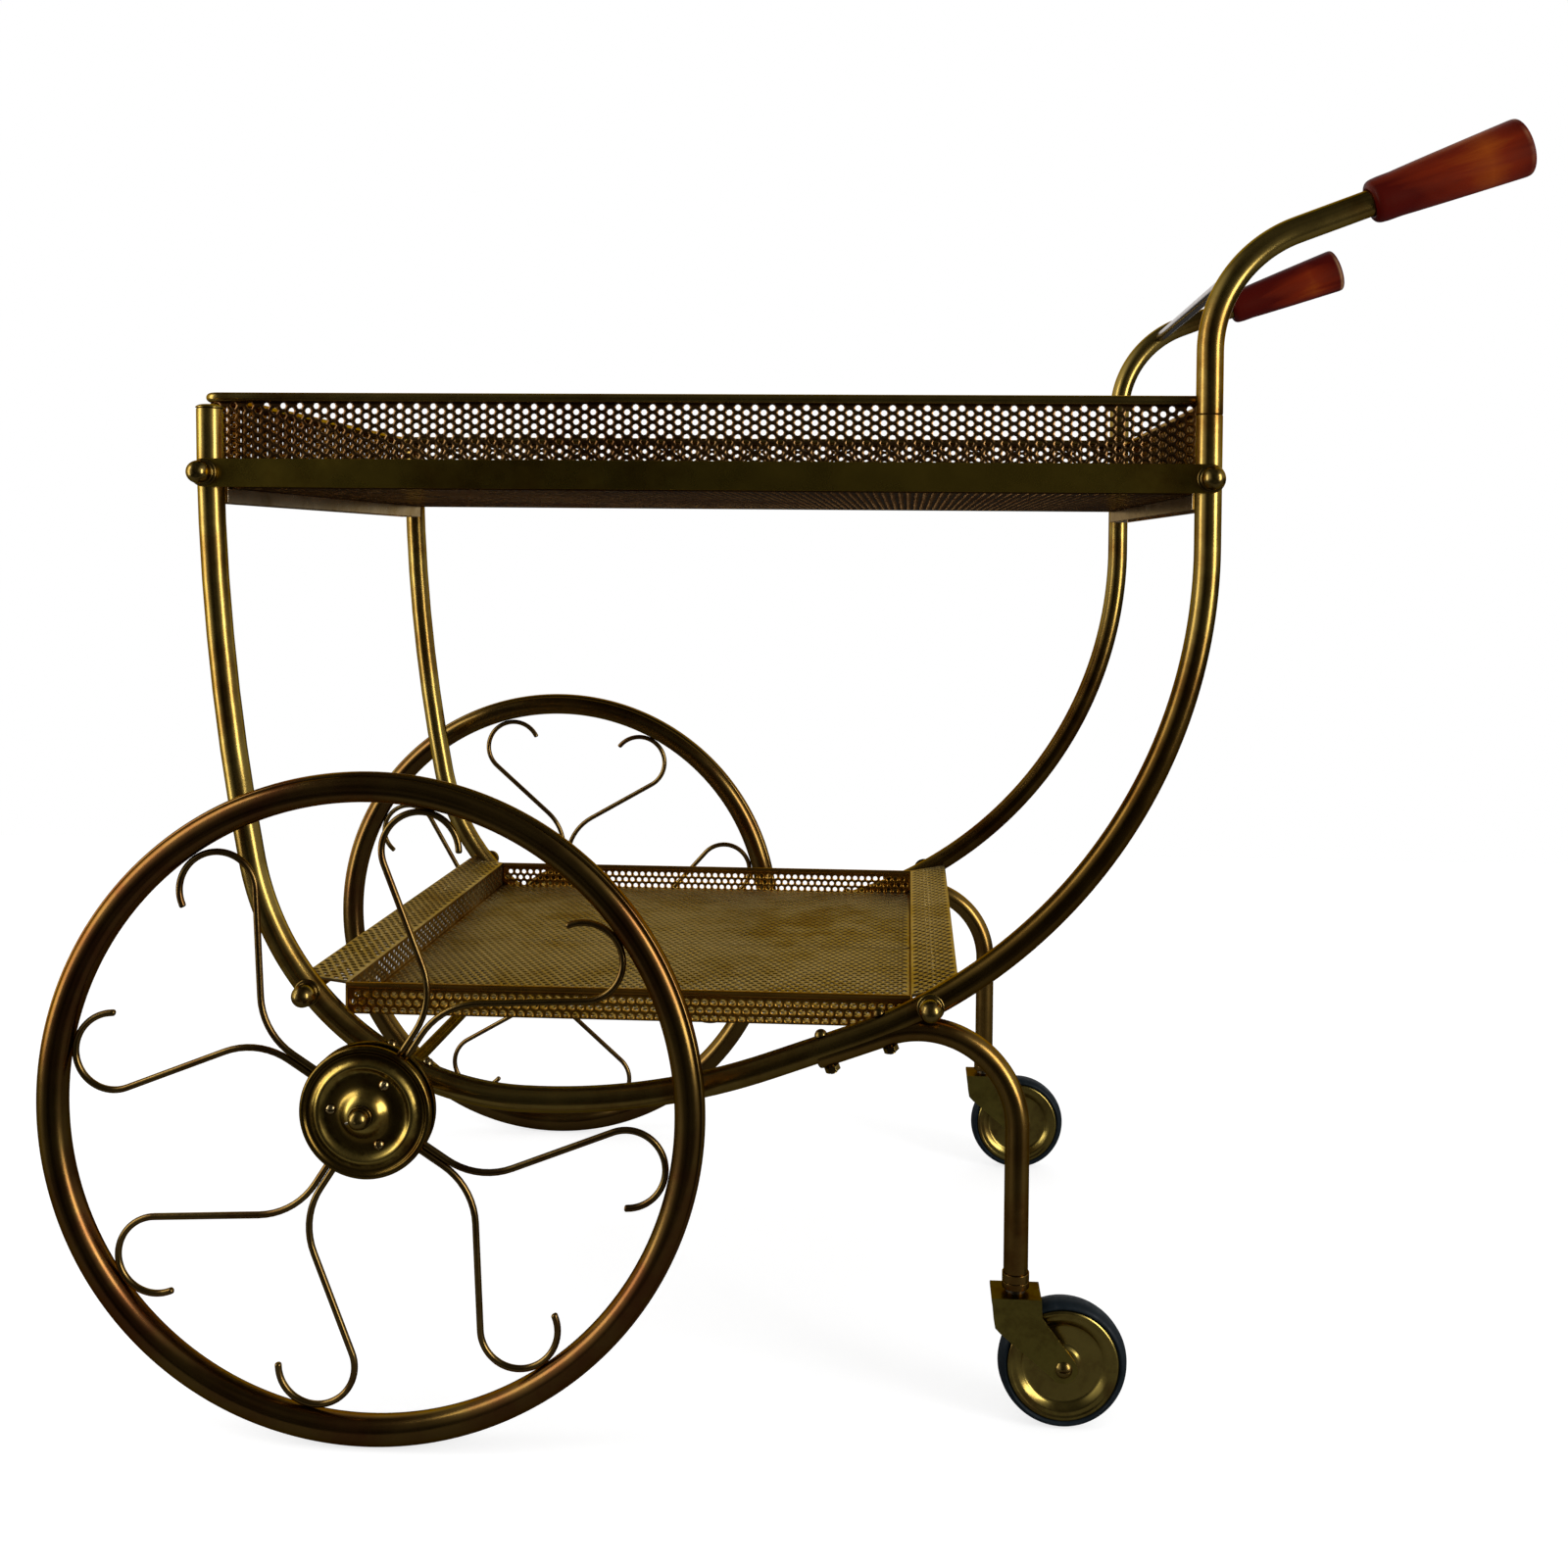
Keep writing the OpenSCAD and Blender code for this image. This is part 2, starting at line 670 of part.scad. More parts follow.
module leg(side) {
  tail = [[leg_bend_z - leg_foot, 0], [leg_r, 90 + sole_a], [leg_tail, 0]];
  hollow = [[leg_bend_z - leg_foot + past, 0], [leg_r, 75]];
  color(brass) placed() difference() {
    side_plane(side * frame_y) translate([caster_x, leg_foot]) rotate(90) bar_run(tail, leg_d);
    side_plane(side * frame_y) translate([caster_x, leg_foot - past]) rotate(90)
      bar_run(hollow, leg_d - 2 * tube_wall);
    side_plane(side * frame_y) translate([sole_x, sole_z]) rotate(sole_a)
      bar_run([[run_len, 0], [sweep_r, 2 * sole_a]], tube_d + 2 * seat, hair);
    for (place = [0, 1]) at_leg_bolt(side, place)
      translate([0, 0, -tube_d]) cylinder(d = leg_bolt_d + 2 * seat, h = 3 * tube_d);
  }
}

// Height of the frame tube's top over the leg's centre line at a bolt
bolt_top = [
  leg_nest + tube_r + 1.1,
  leg_nest + tube_r
];

module leg_bolts() {
  below = leg_d / 2 + 5;
  color(steel) placed() for (side = [near, far], place = [0, 1]) at_leg_bolt(side, place) {
    translate([0, 0, -below]) cylinder(d = leg_bolt_d, h = below + bolt_top[place]);
    translate([0, 0, bolt_top[place]]) round_head(leg_bolt_head_d, 3.6);
  }
}

module leg_nuts() {
  color(steel) placed() for (side = [near, far], place = [0, 1]) at_leg_bolt(side, place)
    translate([0, 0, -leg_d / 2 - leg_nut_h - clear]) hex_nut(leg_nut_d, leg_nut_h, leg_bolt_d + 2 * seat);
}

// Ferrule on each leg's foot: two outer rings and a plug that guides the stem
module leg_ferrules() {
  color(dark_brass) placed() for (side = [near, far]) translate([caster_x, side * frame_y, 0]) difference() {
    union() {
      translate([0, 0, leg_foot - ferrule_drop]) cylinder(d = ferrule_d, h = ferrule_drop - seat);
      translate([0, 0, leg_foot + seat]) difference() {
        cylinder(d = ferrule_d, h = ferrule_h - ferrule_drop);
        translate([0, 0, -past]) cylinder(d = leg_d + 2 * seat, h = ferrule_h);
      }
      translate([0, 0, leg_foot - ferrule_drop])
        cylinder(d = leg_d - 2 * tube_wall - 2 * seat, h = ferrule_plug);
    }
    translate([0, 0, leg_foot - ferrule_drop - past])
      cylinder(d = stem_d + 2 * run_fit, h = ferrule_plug + 2 * past);
  }
}

// A plate with rounded corners, its middle over the frame's middle
module tray_slab(half_x, half_y, corner, h) {
  translate([frame_len / 2, 0, 0]) {
    translate([corner - half_x, -half_y, 0]) cube([2 * (half_x - corner), 2 * half_y, h]);
    translate([-half_x, corner - half_y, 0]) cube([2 * half_x, 2 * (half_y - corner), h]);
    for (sx = [-1, 1], sy = [-1, 1])
      translate([sx * (half_x - corner), sy * (half_y - corner), 0]) cylinder(r = corner, h = h);
  }
}

// A grid of square-cornered cutters over a box from low to high, counted [x, y, z]; 1 leaves no bars that way
module mesh_cutters(low, high, count) {
  pitch = [for (k = [0:2]) (high[k] - low[k]) / count[k]];
  hole = [for (k = [0:2]) count[k] == 1 ? pitch[k] : pitch[k] * mesh_open];
  for (i = [0:count[0] - 1], j = [0:count[1] - 1], k = [0:count[2] - 1])
    translate([for (q = [0:2]) low[q] + ([i, j, k][q] + 0.5) * pitch[q] - hole[q] / 2]) cube(hole);
}

module upper_tray() {
  half_x = frame_len / 2 + tray_over;
  left = tray_corner - tray_over;
  right = frame_len - left;
  side = wall_y - tray_corner;
  cut = [for (s = [-1, 1]) s * (wall_y + past)];
  low = tray_z + sheet_t + mesh_edge;
  high = tray_z + tray_wall_h - rim_wire / 2 - mesh_edge;
  color(brass) placed() difference() {
    translate([0, 0, tray_z]) tray_slab(half_x, wall_y, tray_corner, tray_wall_h);
    translate([0, 0, tray_z + sheet_t])
      tray_slab(half_x - sheet_t, wall_y - sheet_t, tray_corner - sheet_t, tray_wall_h);
    mesh_cutters([left, -side, tray_z - past], [right, side, tray_z + sheet_t + past / 2],
      [mesh_x, mesh_y, 1]);
    mesh_cutters([left, cut[0], low], [right, cut[1], high], [mesh_x, 1, mesh_rows]);
    mesh_cutters([-tray_over - past, -side, low], [frame_len + tray_over + past, side, high],
      [1, mesh_y, mesh_rows]);
  }
}

// Closed ring of wire on top of the tray wall
module upper_tray_rim() {
  half_x = frame_len / 2 + tray_over - sheet_t / 2;
  half_y = wall_y - sheet_t / 2;
  corner = tray_corner - sheet_t / 2;
  color(dark_brass) placed() translate([frame_len / 2, 0, rim_z])
    for (turn = [0, 180]) rotate([0, 0, turn])
      translate([corner - half_x, -half_y, 0])
        bar_run([[2 * (half_x - corner), 0], [corner, 90], [2 * (half_y - corner), 0], [corner, 90]],
          rim_wire, -hair, lap);
}

// Section of the folded flange: wall up, flange out and up, lip down, drawn towards -x from the wall
function flange_section(t, slope) = [
  [0, 0], [0, low_h], [-flange_w, low_h + flange_w * slope], [-flange_w, low_h + flange_w * slope - lip_h],
  [t - flange_w, low_h + flange_w * slope - lip_h], [t - flange_w, low_h + (flange_w - t) * slope - t],
  [-t, low_h + t * slope - t], [-t, 0]
];

module flange(x, slope, mirrored) {
  translate([x, low_y, low_top - low_h]) mirror([mirrored ? 1 : 0, 0, 0]) rotate([90, 0, 0])
    linear_extrude(height = 2 * low_y) polygon(flange_section(sheet_t, slope));
}

module lower_tray() {
  floor_z = low_top - low_h;
  side = low_y - sheet_t - mesh_edge;
  color(brass) placed() difference() {
    union() {
      translate([low_left - sheet_t, -low_y, floor_z])
        cube([low_right - low_left + 2 * sheet_t, 2 * low_y, sheet_t]);
      for (s = [-1, 1]) translate([low_left - sheet_t, s > 0 ? low_y - sheet_t : -low_y, floor_z])
        cube([low_right - low_left + 2 * sheet_t, sheet_t, low_h]);
      flange(low_left, left_slope, false);
      flange(low_right, right_slope, true);
    }
    mesh_cutters([low_left + mesh_edge, -side, floor_z - past],
      [low_right - mesh_edge, side, floor_z + sheet_t + past / 2], [mesh_x - 2, mesh_y, 1]);
  }
}

// A big wheel's own plane: x and y in the wheel, z outwards from its middle
module wheel_frame(side) {
  translate([wheel_x, side * wheel_y, axle_z]) rotate([-side * 90, 0, 0]) children();
}

module wheel_rim(side) {
  groove_r = wheel_r - 3.6;
  color(dark_brass) placed() wheel_frame(side) rotate_extrude($fn = 180) difference() {
    translate([rim_r, 0]) circle(d = rim_d, $fn = 48);
    translate([rim_r, 0]) circle(d = rim_d - 2 * tube_wall, $fn = 48);
    for (s = [-1, 1]) translate([groove_r, s * sqrt(pow(rim_d / 2, 2) - pow(groove_r - rim_r, 2))])
      circle(r = rim_groove, $fn = 16);
  }
}

// One spoke in the pair's own plane: out along the axis, away to the side, then round the curl
module spoke() {
  translate([spoke_start, spoke_side, 0])
    bar_run([
      [spoke_bend_x - spoke_start, 0], [spoke_bend_r, spoke_slope], [spoke_run, 0], [curl_r, -curl_turn]
    ], spoke_d);
}

module wheel_spokes(side, turn) {
  // Seen from the camera's side, the turn is counted the same way on both wheels
  color(dark_brass) placed() translate([wheel_x, side * wheel_y, axle_z]) rotate([90, 0, 0])
    for (i = [0:pairs - 1]) rotate([0, 0, turn + i * 360 / pairs]) {
      spoke();
      mirror([0, 1, 0]) spoke();
    }
}

// Outer face of a pressed hub disc as [radius, height], from the rolled edge to the bush
hub_face = [
  [hub_r, 0.2], [hub_r, 1.8], [hub_r - 1.2, 3.4], [hub_r - 3, 3.4], [hub_r - 4.4, 2], [hub_r - 5.8, 1.6],
  [hub_r - 8.6, 2.6], [hub_r - 10.2, 4.2], [hub_r - 11.6, 4.4], [hub_r - 14.6, 2.6], [hub_r - 16, 2.2],
  [15.6, 2.8], [13.4, 4.4], [11, 7], [8.6, 8.6], [bush_d / 2 + seat, 9.1]
];

module hub_disc() {
  outline = concat(
    [for (p = hub_face) [p[0], p[1] + hub_t]],
    [for (i = [len(hub_face) - 1:-1:0]) [hub_face[i][0] - (i == 0 ? hub_t : 0), max(hub_face[i][1], 0)]]
  );
  difference() {
    rotate_extrude() polygon(outline);
    for (i = [0:hub_screws - 1]) rotate([0, 0, 60 + i * 360 / hub_screws])
      translate([hub_screw_r, 0, -past]) cylinder(d = hub_screw_d + 2 * seat, h = 12);
  }
}

module wheel_disc(side, outside) {
  color(brass) placed() translate([wheel_x, side * wheel_y, axle_z]) rotate([0, hub_screw_turn, 0])
    rotate([-side * outside * 90, 0, 0]) translate([0, 0, disc_gap]) hub_disc();
}

module wheel_bush(side) {
  color(steel) placed() wheel_frame(side) difference() {
    translate([0, 0, -bush_len / 2]) cylinder(d = bush_d, h = bush_len);
    translate([0, 0, -bush_len]) cylinder(d = axle_d + 2 * run_fit, h = 2 * bush_len);
  }
}

module wheel_screws(side) {
  head_at = disc_gap + hub_t + 2.7;
  color(steel) placed() translate([wheel_x, side * wheel_y, axle_z]) rotate([0, hub_screw_turn, 0])
    rotate([-side * 90, 0, 0]) for (i = [0:hub_screws - 1])
      rotate([0, 0, 60 + i * 360 / hub_screws]) translate([hub_screw_r, 0, 0]) {
      translate([0, 0, -disc_gap - hub_t - 3]) cylinder(d = hub_screw_d, h = head_at + disc_gap + hub_t + 3);
      translate([0, 0, head_at]) round_head(6.4, 2);
    }
}

// A caster's own frame, its swivel line at x = 0, y = 0
module at_caster(side) {
  translate([caster_x, side * frame_y, 0]) children();
}

// Outline of a fork plate from the swivel line; the round end is added at the axle
fork_plate = [
  [-fork_len / 2, fork_top], [fork_len / 2, fork_top], [fork_len / 2 + 0.6, fork_top - 11.5],
  [trail + fork_end_r * cos(36), caster_axle_z + fork_end_r * sin(36)],
  [trail - fork_end_r * cos(48), caster_axle_z - fork_end_r * sin(48)],
  [-9.5, fork_top - 21.5], [-12.8, fork_top - 18], [-13.8, fork_top - 12]
];

module caster_fork(side) {
  color(brass) placed() at_caster(side) difference() {
    union() {
      for (s = [-1, 1]) translate([0, s > 0 ? fork_w / 2 : fork_t - fork_w / 2, 0]) rotate([90, 0, 0]) {
        linear_extrude(height = fork_t) polygon(fork_plate);
        translate([trail, caster_axle_z, 0]) cylinder(r = fork_end_r, h = fork_t);
      }
      translate([-fork_len / 2, -fork_w / 2, fork_top - fork_t]) cube([fork_len, fork_w, fork_t]);
    }
    cross_rod(trail, caster_axle_z, caster_bolt_d + 2 * seat, -fork_w, fork_w);
    translate([0, 0, fork_top - 2 * fork_t]) cylinder(d = stem_d + 2 * seat, h = 4 * fork_t);
  }
}

// Stem with a thrust collar on the fork and a riveted head below it
module caster_stem(side) {
  color(steel) placed() at_caster(side) {
    translate([0, 0, fork_top - fork_t]) cylinder(d = stem_d, h = stem_len);
    translate([0, 0, fork_top]) cylinder(d = 12, h = leg_foot - 4 - clear - fork_top);
    translate([0, 0, fork_top - fork_t - fork_pad]) cylinder(d = 11, h = fork_pad);
  }
}

module caster_bolt(side) {
  color(steel) placed() at_caster(side) {
    cross_rod(trail, caster_axle_z, caster_bolt_d, -fork_w / 2 - seat, fork_w / 2 + 4);
    translate([trail, -fork_w / 2, caster_axle_z]) rotate([90, 0, 0]) round_head(caster_bolt_head, 2.6);
    translate([trail, fork_w / 2, caster_axle_z]) rotate([-90, 0, 0]) hex_nut(9.6, 3.4, caster_bolt_d);
  }
}

module caster_frame(side) {
  translate([caster_axle_x, side * frame_y, caster_axle_z]) rotate([90, 0, 0]) children();
}

// Tyre section: a bead between the discs and a rounded tread
function tyre_section() = [
  [disc_r - 3, -2], [disc_r, -tyre_w / 2 + 1.5],
  for (a = [-90:15:90]) [disc_r + 1.4 + (caster_r - disc_r - 1.4) * cos(a), tyre_w / 2 * sin(a)],
  [disc_r, tyre_w / 2 - 1.5], [disc_r - 3, 2]
];

module caster_tyre(side) {
  color(rubber) placed() caster_frame(side) rotate_extrude() polygon(tyre_section());
}

// Outer face of a pressed caster disc as [radius, height] over the wheel's middle
caster_face = [
  [disc_r - 0.2, 6.3], [disc_r - 1.6, 7], [disc_r - 3.4, 6.4], [disc_r - 5.4, 6.4], [disc_r - 8.4, 4.6],
  [disc_r - 10, 2.8], [12, 2.8], [9, 4.4], [caster_bolt_d / 2 + 2 + seat, 4.8]
];

module caster_discs(side) {
  sheet = 1;
  outline = concat(
    [for (p = caster_face) [p[0], p[1] + sheet]],
    [for (i = [len(caster_face) - 1:-1:0]) caster_face[i]]
  );
  color(brass) placed() caster_frame(side) for (s = [0, 1]) mirror([0, 0, s])
    rotate_extrude() polygon(outline);
}

module caster_bush(side) {
  color(steel) placed() caster_frame(side) difference() {
    translate([0, 0, clear + fork_t - fork_w / 2])
      cylinder(d = caster_bolt_d + 4, h = fork_w - 2 * fork_t - 2 * clear);
    translate([0, 0, -fork_w]) cylinder(d = caster_bolt_d + 2 * run_fit, h = 2 * fork_w);
  }
}

side_frame(near);  // side_frame_near
side_frame(far);  // side_frame_far
leg_caps();
handle_tube(near);  // handle_tube_near
handle_tube(far);  // handle_tube_far
handle_spigots();
grip(near);  // grip_near
grip(far);  // grip_far
handle_crossbar();
side_band(near);  // side_band_near
side_band(far);  // side_band_far
end_channel(0);  // end_channel_left
end_channel(frame_len);  // end_channel_right
upper_bolts();
upper_washers();
upper_ball_nuts();
lower_rod(rod_left_x);  // lower_rod_left
lower_rod(rod_right_x);  // lower_rod_right
lower_washers();
lower_ball_nuts();
axle();
axle_saddles();
axle_screws();
axle_spacers();
axle_washers();
axle_caps();
split_pins();
leg(near);  // leg_near
leg(far);  // leg_far
leg_bolts();
leg_nuts();
leg_ferrules();
upper_tray();
upper_tray_rim();
lower_tray();
wheel_rim(near);  // wheel_near_rim
wheel_spokes(near, near_turn);  // wheel_near_spokes
wheel_disc(near, 1);  // wheel_near_outer_disc
wheel_disc(near, -1);  // wheel_near_inner_disc
wheel_bush(near);  // wheel_near_bush
wheel_screws(near);  // wheel_near_screws
wheel_rim(far);  // wheel_far_rim
wheel_spokes(far, far_turn);  // wheel_far_spokes
wheel_disc(far, 1);  // wheel_far_outer_disc
wheel_disc(far, -1);  // wheel_far_inner_disc
wheel_bush(far);  // wheel_far_bush
wheel_screws(far);  // wheel_far_screws
caster_fork(near);  // caster_near_fork
caster_stem(near);  // caster_near_stem
caster_bolt(near);  // caster_near_bolt
caster_tyre(near);  // caster_near_tyre
caster_discs(near);  // caster_near_discs
caster_bush(near);  // caster_near_bush
caster_fork(far);  // caster_far_fork
caster_stem(far);  // caster_far_stem
caster_bolt(far);  // caster_far_bolt
caster_tyre(far);  // caster_far_tyre
caster_discs(far);  // caster_far_discs
caster_bush(far);  // caster_far_bush
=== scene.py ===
import math

import bmesh
import bpy
import numpy as np
from mathutils import Matrix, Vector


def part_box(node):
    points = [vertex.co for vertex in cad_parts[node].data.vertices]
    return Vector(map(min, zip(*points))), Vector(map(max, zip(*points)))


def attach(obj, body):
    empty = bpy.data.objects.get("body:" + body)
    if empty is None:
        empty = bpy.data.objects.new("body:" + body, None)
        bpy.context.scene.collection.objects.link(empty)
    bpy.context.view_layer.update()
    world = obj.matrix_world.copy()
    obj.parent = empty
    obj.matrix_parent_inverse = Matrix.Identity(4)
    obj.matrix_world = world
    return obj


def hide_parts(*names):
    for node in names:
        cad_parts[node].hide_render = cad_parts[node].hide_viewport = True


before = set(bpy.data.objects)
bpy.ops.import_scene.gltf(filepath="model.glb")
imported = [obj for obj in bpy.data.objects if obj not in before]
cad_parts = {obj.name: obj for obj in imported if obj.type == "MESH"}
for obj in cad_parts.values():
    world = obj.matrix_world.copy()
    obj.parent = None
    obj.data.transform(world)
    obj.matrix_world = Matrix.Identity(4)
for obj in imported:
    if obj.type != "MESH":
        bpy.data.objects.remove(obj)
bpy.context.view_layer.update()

MM = 0.001

# Places that the frame gives


def middle(node):
    """Centre of a CAD node's box."""
    low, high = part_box(node)
    return (np.array(low) + np.array(high)) / 2


LEFT_X = middle("end_channel_left")[0]
RIGHT_X = middle("end_channel_right")[0]
FRAME_Y = middle("side_frame_far")[1]
LEG_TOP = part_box("side_frame_far")[1].z
SEAM_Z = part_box("handle_tube_far")[0].z
BOLT_Z = middle("upper_bolts")[2]
AXLE_X, WHEEL_Y, AXLE_Z = middle("wheel_far_rim")
CASTER_AXLE = middle("caster_far_tyre")
CASTER_X = middle("leg_ferrules")[0]
ROD_Z = middle("lower_rod_left")[2]
ROD_LEFT_X = middle("lower_rod_left")[0]
ROD_RIGHT_X = middle("lower_rod_right")[0]
SIDES = {"near": -1, "far": 1}

# Sizes of the bent tubes
TUBE_R = 8 * MM
SHIN_R, SHIN_TURN = 1466 * MM, 11
HEEL_R, HEEL_REST = 180 * MM, 1.7
SOLE_R, SOLE_TURN = 413 * MM, 20
SWEEP_R = 321 * MM
NECK = 38 * MM
HANDLE_R, HANDLE_SLOPE = 77 * MM, 20.4
HANDLE_BARE = 45 * MM
GRIP_LEN = 94 * MM
GRIP_SMALL, GRIP_BIG = 26 * MM, 35 * MM
LEG_R, LEG_BEND_R = 7.5 * MM, 60 * MM
LEG_NEST, LEG_TAIL = 4 * MM, 45 * MM
LEG_FOOT = 88 * MM
CUT_END = 0.7 * MM
# Where a handle's bend ends
BEND_X = RIGHT_X + HANDLE_R - HANDLE_R * math.sin(math.radians(HANDLE_SLOPE))
BEND_Z = SEAM_Z + NECK + HANDLE_R * math.cos(math.radians(HANDLE_SLOPE))

# Distances, and angles in degrees, that mesh making goes by
WELD, FLAT_WELD, SLIVER, NO_AREA = 1e-6, 2e-6, 1e-7, 1e-10
FLAT_WITHIN, PLAIN_CREASE, EASED_CREASE, EASED_EDGE = 1, 40, 45, 30


# Mesh making


def build_mesh(name, points, *faces):
    """A mesh from an array of points and one array of faces for each number of corners."""
    points = np.asarray(points, np.float32).reshape(-1, 3)
    corners = np.concatenate([np.asarray(f).ravel() for f in faces]).astype(np.int32)
    sizes = np.concatenate([np.full(len(f), np.shape(f)[1]) for f in faces])
    starts = np.concatenate([[0], np.cumsum(sizes)[:-1]]).astype(np.int32)
    mesh = bpy.data.meshes.new(name)
    mesh.vertices.add(len(points))
    mesh.vertices.foreach_set("co", points.ravel())
    mesh.loops.add(len(corners))
    mesh.loops.foreach_set("vertex_index", corners)
    mesh.polygons.add(len(sizes))
    mesh.polygons.foreach_set("loop_start", starts)
    mesh.update(calc_edges=True)
    mesh.validate()
    return mesh


def shade(mesh, crease):
    """Smooth shading that breaks at edges sharper than the given angle."""
    mesh.polygons.foreach_set("use_smooth", np.ones(len(mesh.polygons), bool))
    mesh.set_sharp_from_angle(angle=math.radians(crease))


def merged(mesh, flatten=False):
    """Merges equal points, then points all faces outwards, or joins the triangles of each flat face."""
    bm = bmesh.new()
    bm.from_mesh(mesh)
    bmesh.ops.remove_doubles(bm, verts=bm.verts, dist=FLAT_WELD if flatten else WELD)
    if flatten:
        bmesh.ops.dissolve_limit(bm, angle_limit=math.radians(FLAT_WITHIN), verts=bm.verts, edges=bm.edges)
    else:
        bmesh.ops.dissolve_degenerate(bm, edges=bm.edges, dist=SLIVER)
        bmesh.ops.recalc_face_normals(bm, faces=bm.faces)
    bm.to_mesh(mesh)
    bm.free()


def added(name, data):
    """A new object with the given data, in the scene."""
    obj = bpy.data.objects.new(name, data)
    bpy.context.scene.collection.objects.link(obj)
    return obj


def place(name, mesh, body, finish, replaced=()):
    """Puts a finished mesh in the scene as a piece of the given body and finish."""
    obj = added(name, mesh)
    mesh.materials.clear()
    mesh.materials.append(finish)
    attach(obj, body)
    if replaced:
        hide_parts(*replaced)
    return obj


def grid_faces(rows, columns, closed_rows=False, closed_columns=True):
    """Quads of a grid of points, which may close on itself along its rows or its columns."""
    i = np.arange(rows if closed_rows else rows - 1)[:, None]
    j = np.arange(columns if closed_columns else columns - 1)[None, :]
    a = i * columns + j
    b = i * columns + (j + 1) % columns
    c = ((i + 1) % rows) * columns + (j + 1) % columns
    d = ((i + 1) % rows) * columns + j
    return np.stack([a, b, c, d], -1).reshape(-1, 4)


def joined(parts):
    """One array of points and one of quads from several."""
    points, faces, count = [], [], 0
    for p, f in parts:
        p = np.reshape(p, (-1, 3))
        points.append(p)
        faces.append(f + count)
        count += len(p)
    return np.concatenate(points), np.concatenate(faces)


def bent_path(start, heading, steps, turn_step=2.0, straight_step=0.02):
    """Points and headings in a side plane, from steps of size and turn. A straight step runs along the
    heading h. A bend of radius r lies at r (sin h - sin h0) along and -r (cos h - cos h0) up from its start,
    with the signs turned for a right bend."""
    x, z = start
    h = math.radians(heading)
    runs = [np.array([[x, z, h]])]
    for size, turn in steps:
        if turn == 0:
            s = np.linspace(0, size, max(3, int(size / straight_step)))[1:]
            run = np.stack([x + s * math.cos(h), z + s * math.sin(h), np.full_like(s, h)], -1)
        else:
            side = math.copysign(1, turn)
            a = h + np.linspace(0, math.radians(turn), max(8, int(abs(turn) / turn_step)))[1:]
            along = x + side * size * (np.sin(a) - math.sin(h))
            up = z - side * size * (np.cos(a) - math.cos(h))
            run = np.stack([along, up, a], -1)
        runs.append(run)
        x, z, h = run[-1]
    return np.concatenate(runs)


def circles(sides, first, second):
    """Circles of radius one round the points of a line, cos t first + sin t second."""
    t = np.linspace(0, 2 * np.pi, sides, endpoint=False)
    return np.cos(t)[None, :, None] * first[:, None] + np.sin(t)[None, :, None] * np.array(second)


def round_bar(path, y, radius, end, sides=48):
    """A round bar along a path in the side plane at y: p + r (cos t n + sin t Y), with n across the path.
    Its ends are flat, with a rounding of the given size: end (1 - cos q) along, end (1 - sin q) inwards."""
    q = np.radians([0, 30, 60, 90])
    along, inset = np.append(0, end * (1 - np.cos(q))), np.append(radius, end * (1 - np.sin(q)))
    ways = np.stack([np.cos(path[:, 2]), np.sin(path[:, 2])], -1)
    spine = np.concatenate([path[0, :2] + along[:, None] * ways[0], path[1:-1, :2],
                            path[-1, :2] - along[::-1, None] * ways[-1]])
    turns = len(q) + 1
    heading = np.concatenate([np.full(turns, path[0, 2]), path[1:-1, 2], np.full(turns, path[-1, 2])])
    r = radius - np.concatenate([inset, np.zeros(len(path) - 2), inset[::-1]])
    across = np.stack([-np.sin(heading), np.zeros_like(heading), np.cos(heading)], -1)
    centre = np.stack([spine[:, 0], np.full(len(spine), y), spine[:, 1]], -1)
    ring = circles(sides, across, (0, 1, 0))
    return centre[:, None] + r[:, None, None] * ring, grid_faces(len(spine), sides)


def soften(profile, rounds=2, closed=False):
    """Corner cutting: each edge keeps its points at a quarter and three quarters, so corners turn round."""
    profile = np.asarray(profile, float)
    for _ in range(rounds):
        after = np.roll(profile, -1, 0) if closed else profile[1:]
        before = profile if closed else profile[:-1]
        cut = np.stack([before * 0.75 + after * 0.25, before * 0.25 + after * 0.75], 1).reshape(-1, 2)
        profile = cut if closed else np.concatenate([profile[:1], cut, profile[-1:]])
    return profile


def turned(profile, centre, axis=(0, 1, 0), closed=False, sides=96):
    """A turned form: a profile of radius and height carried round an axis through the centre,
    c + height a + radius (cos t e1 + sin t e2)."""
    profile = np.asarray(profile, float)
    a = np.array(axis, float)
    a /= np.linalg.norm(a)
    e1 = np.cross(a, [0, 0, 1.0]) if abs(a[2]) < 0.9 else np.array([1.0, 0, 0])
    e1 /= np.linalg.norm(e1)
    e2 = np.cross(a, e1)
    t = np.linspace(0, 2 * np.pi, sides, endpoint=False)
    ring = np.cos(t)[:, None] * e1 + np.sin(t)[:, None] * e2
    points = np.array(centre) + profile[:, 1, None, None] * a + profile[:, 0, None, None] * ring[None]
    return points, grid_faces(len(profile), sides, closed_rows=closed)


def solid_piece(name, body, finish, parts, replaced=(), crease=PLAIN_CREASE):
    """A piece from one or more grids of points, merged."""
    mesh = build_mesh(name, *joined(parts))
    merged(mesh)
    shade(mesh, crease)
    return place(name, mesh, body, finish, replaced)


def eased_copy(node, body, finish, width):
    """The CAD node's own shape, with its edges eased by a small bevel."""
    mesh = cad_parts[node].data.copy()
    merged(mesh, flatten=True)
    shade(mesh, EASED_CREASE)
    obj = place(node + "_eased", mesh, body, finish, (node,))
    bevel = obj.modifiers.new("eased_edges", "BEVEL")
    bevel.width, bevel.segments = width, 2
    bevel.limit_method, bevel.angle_limit = "ANGLE", math.radians(EASED_EDGE)
    bevel.harden_normals = True
    return obj


# Finishes

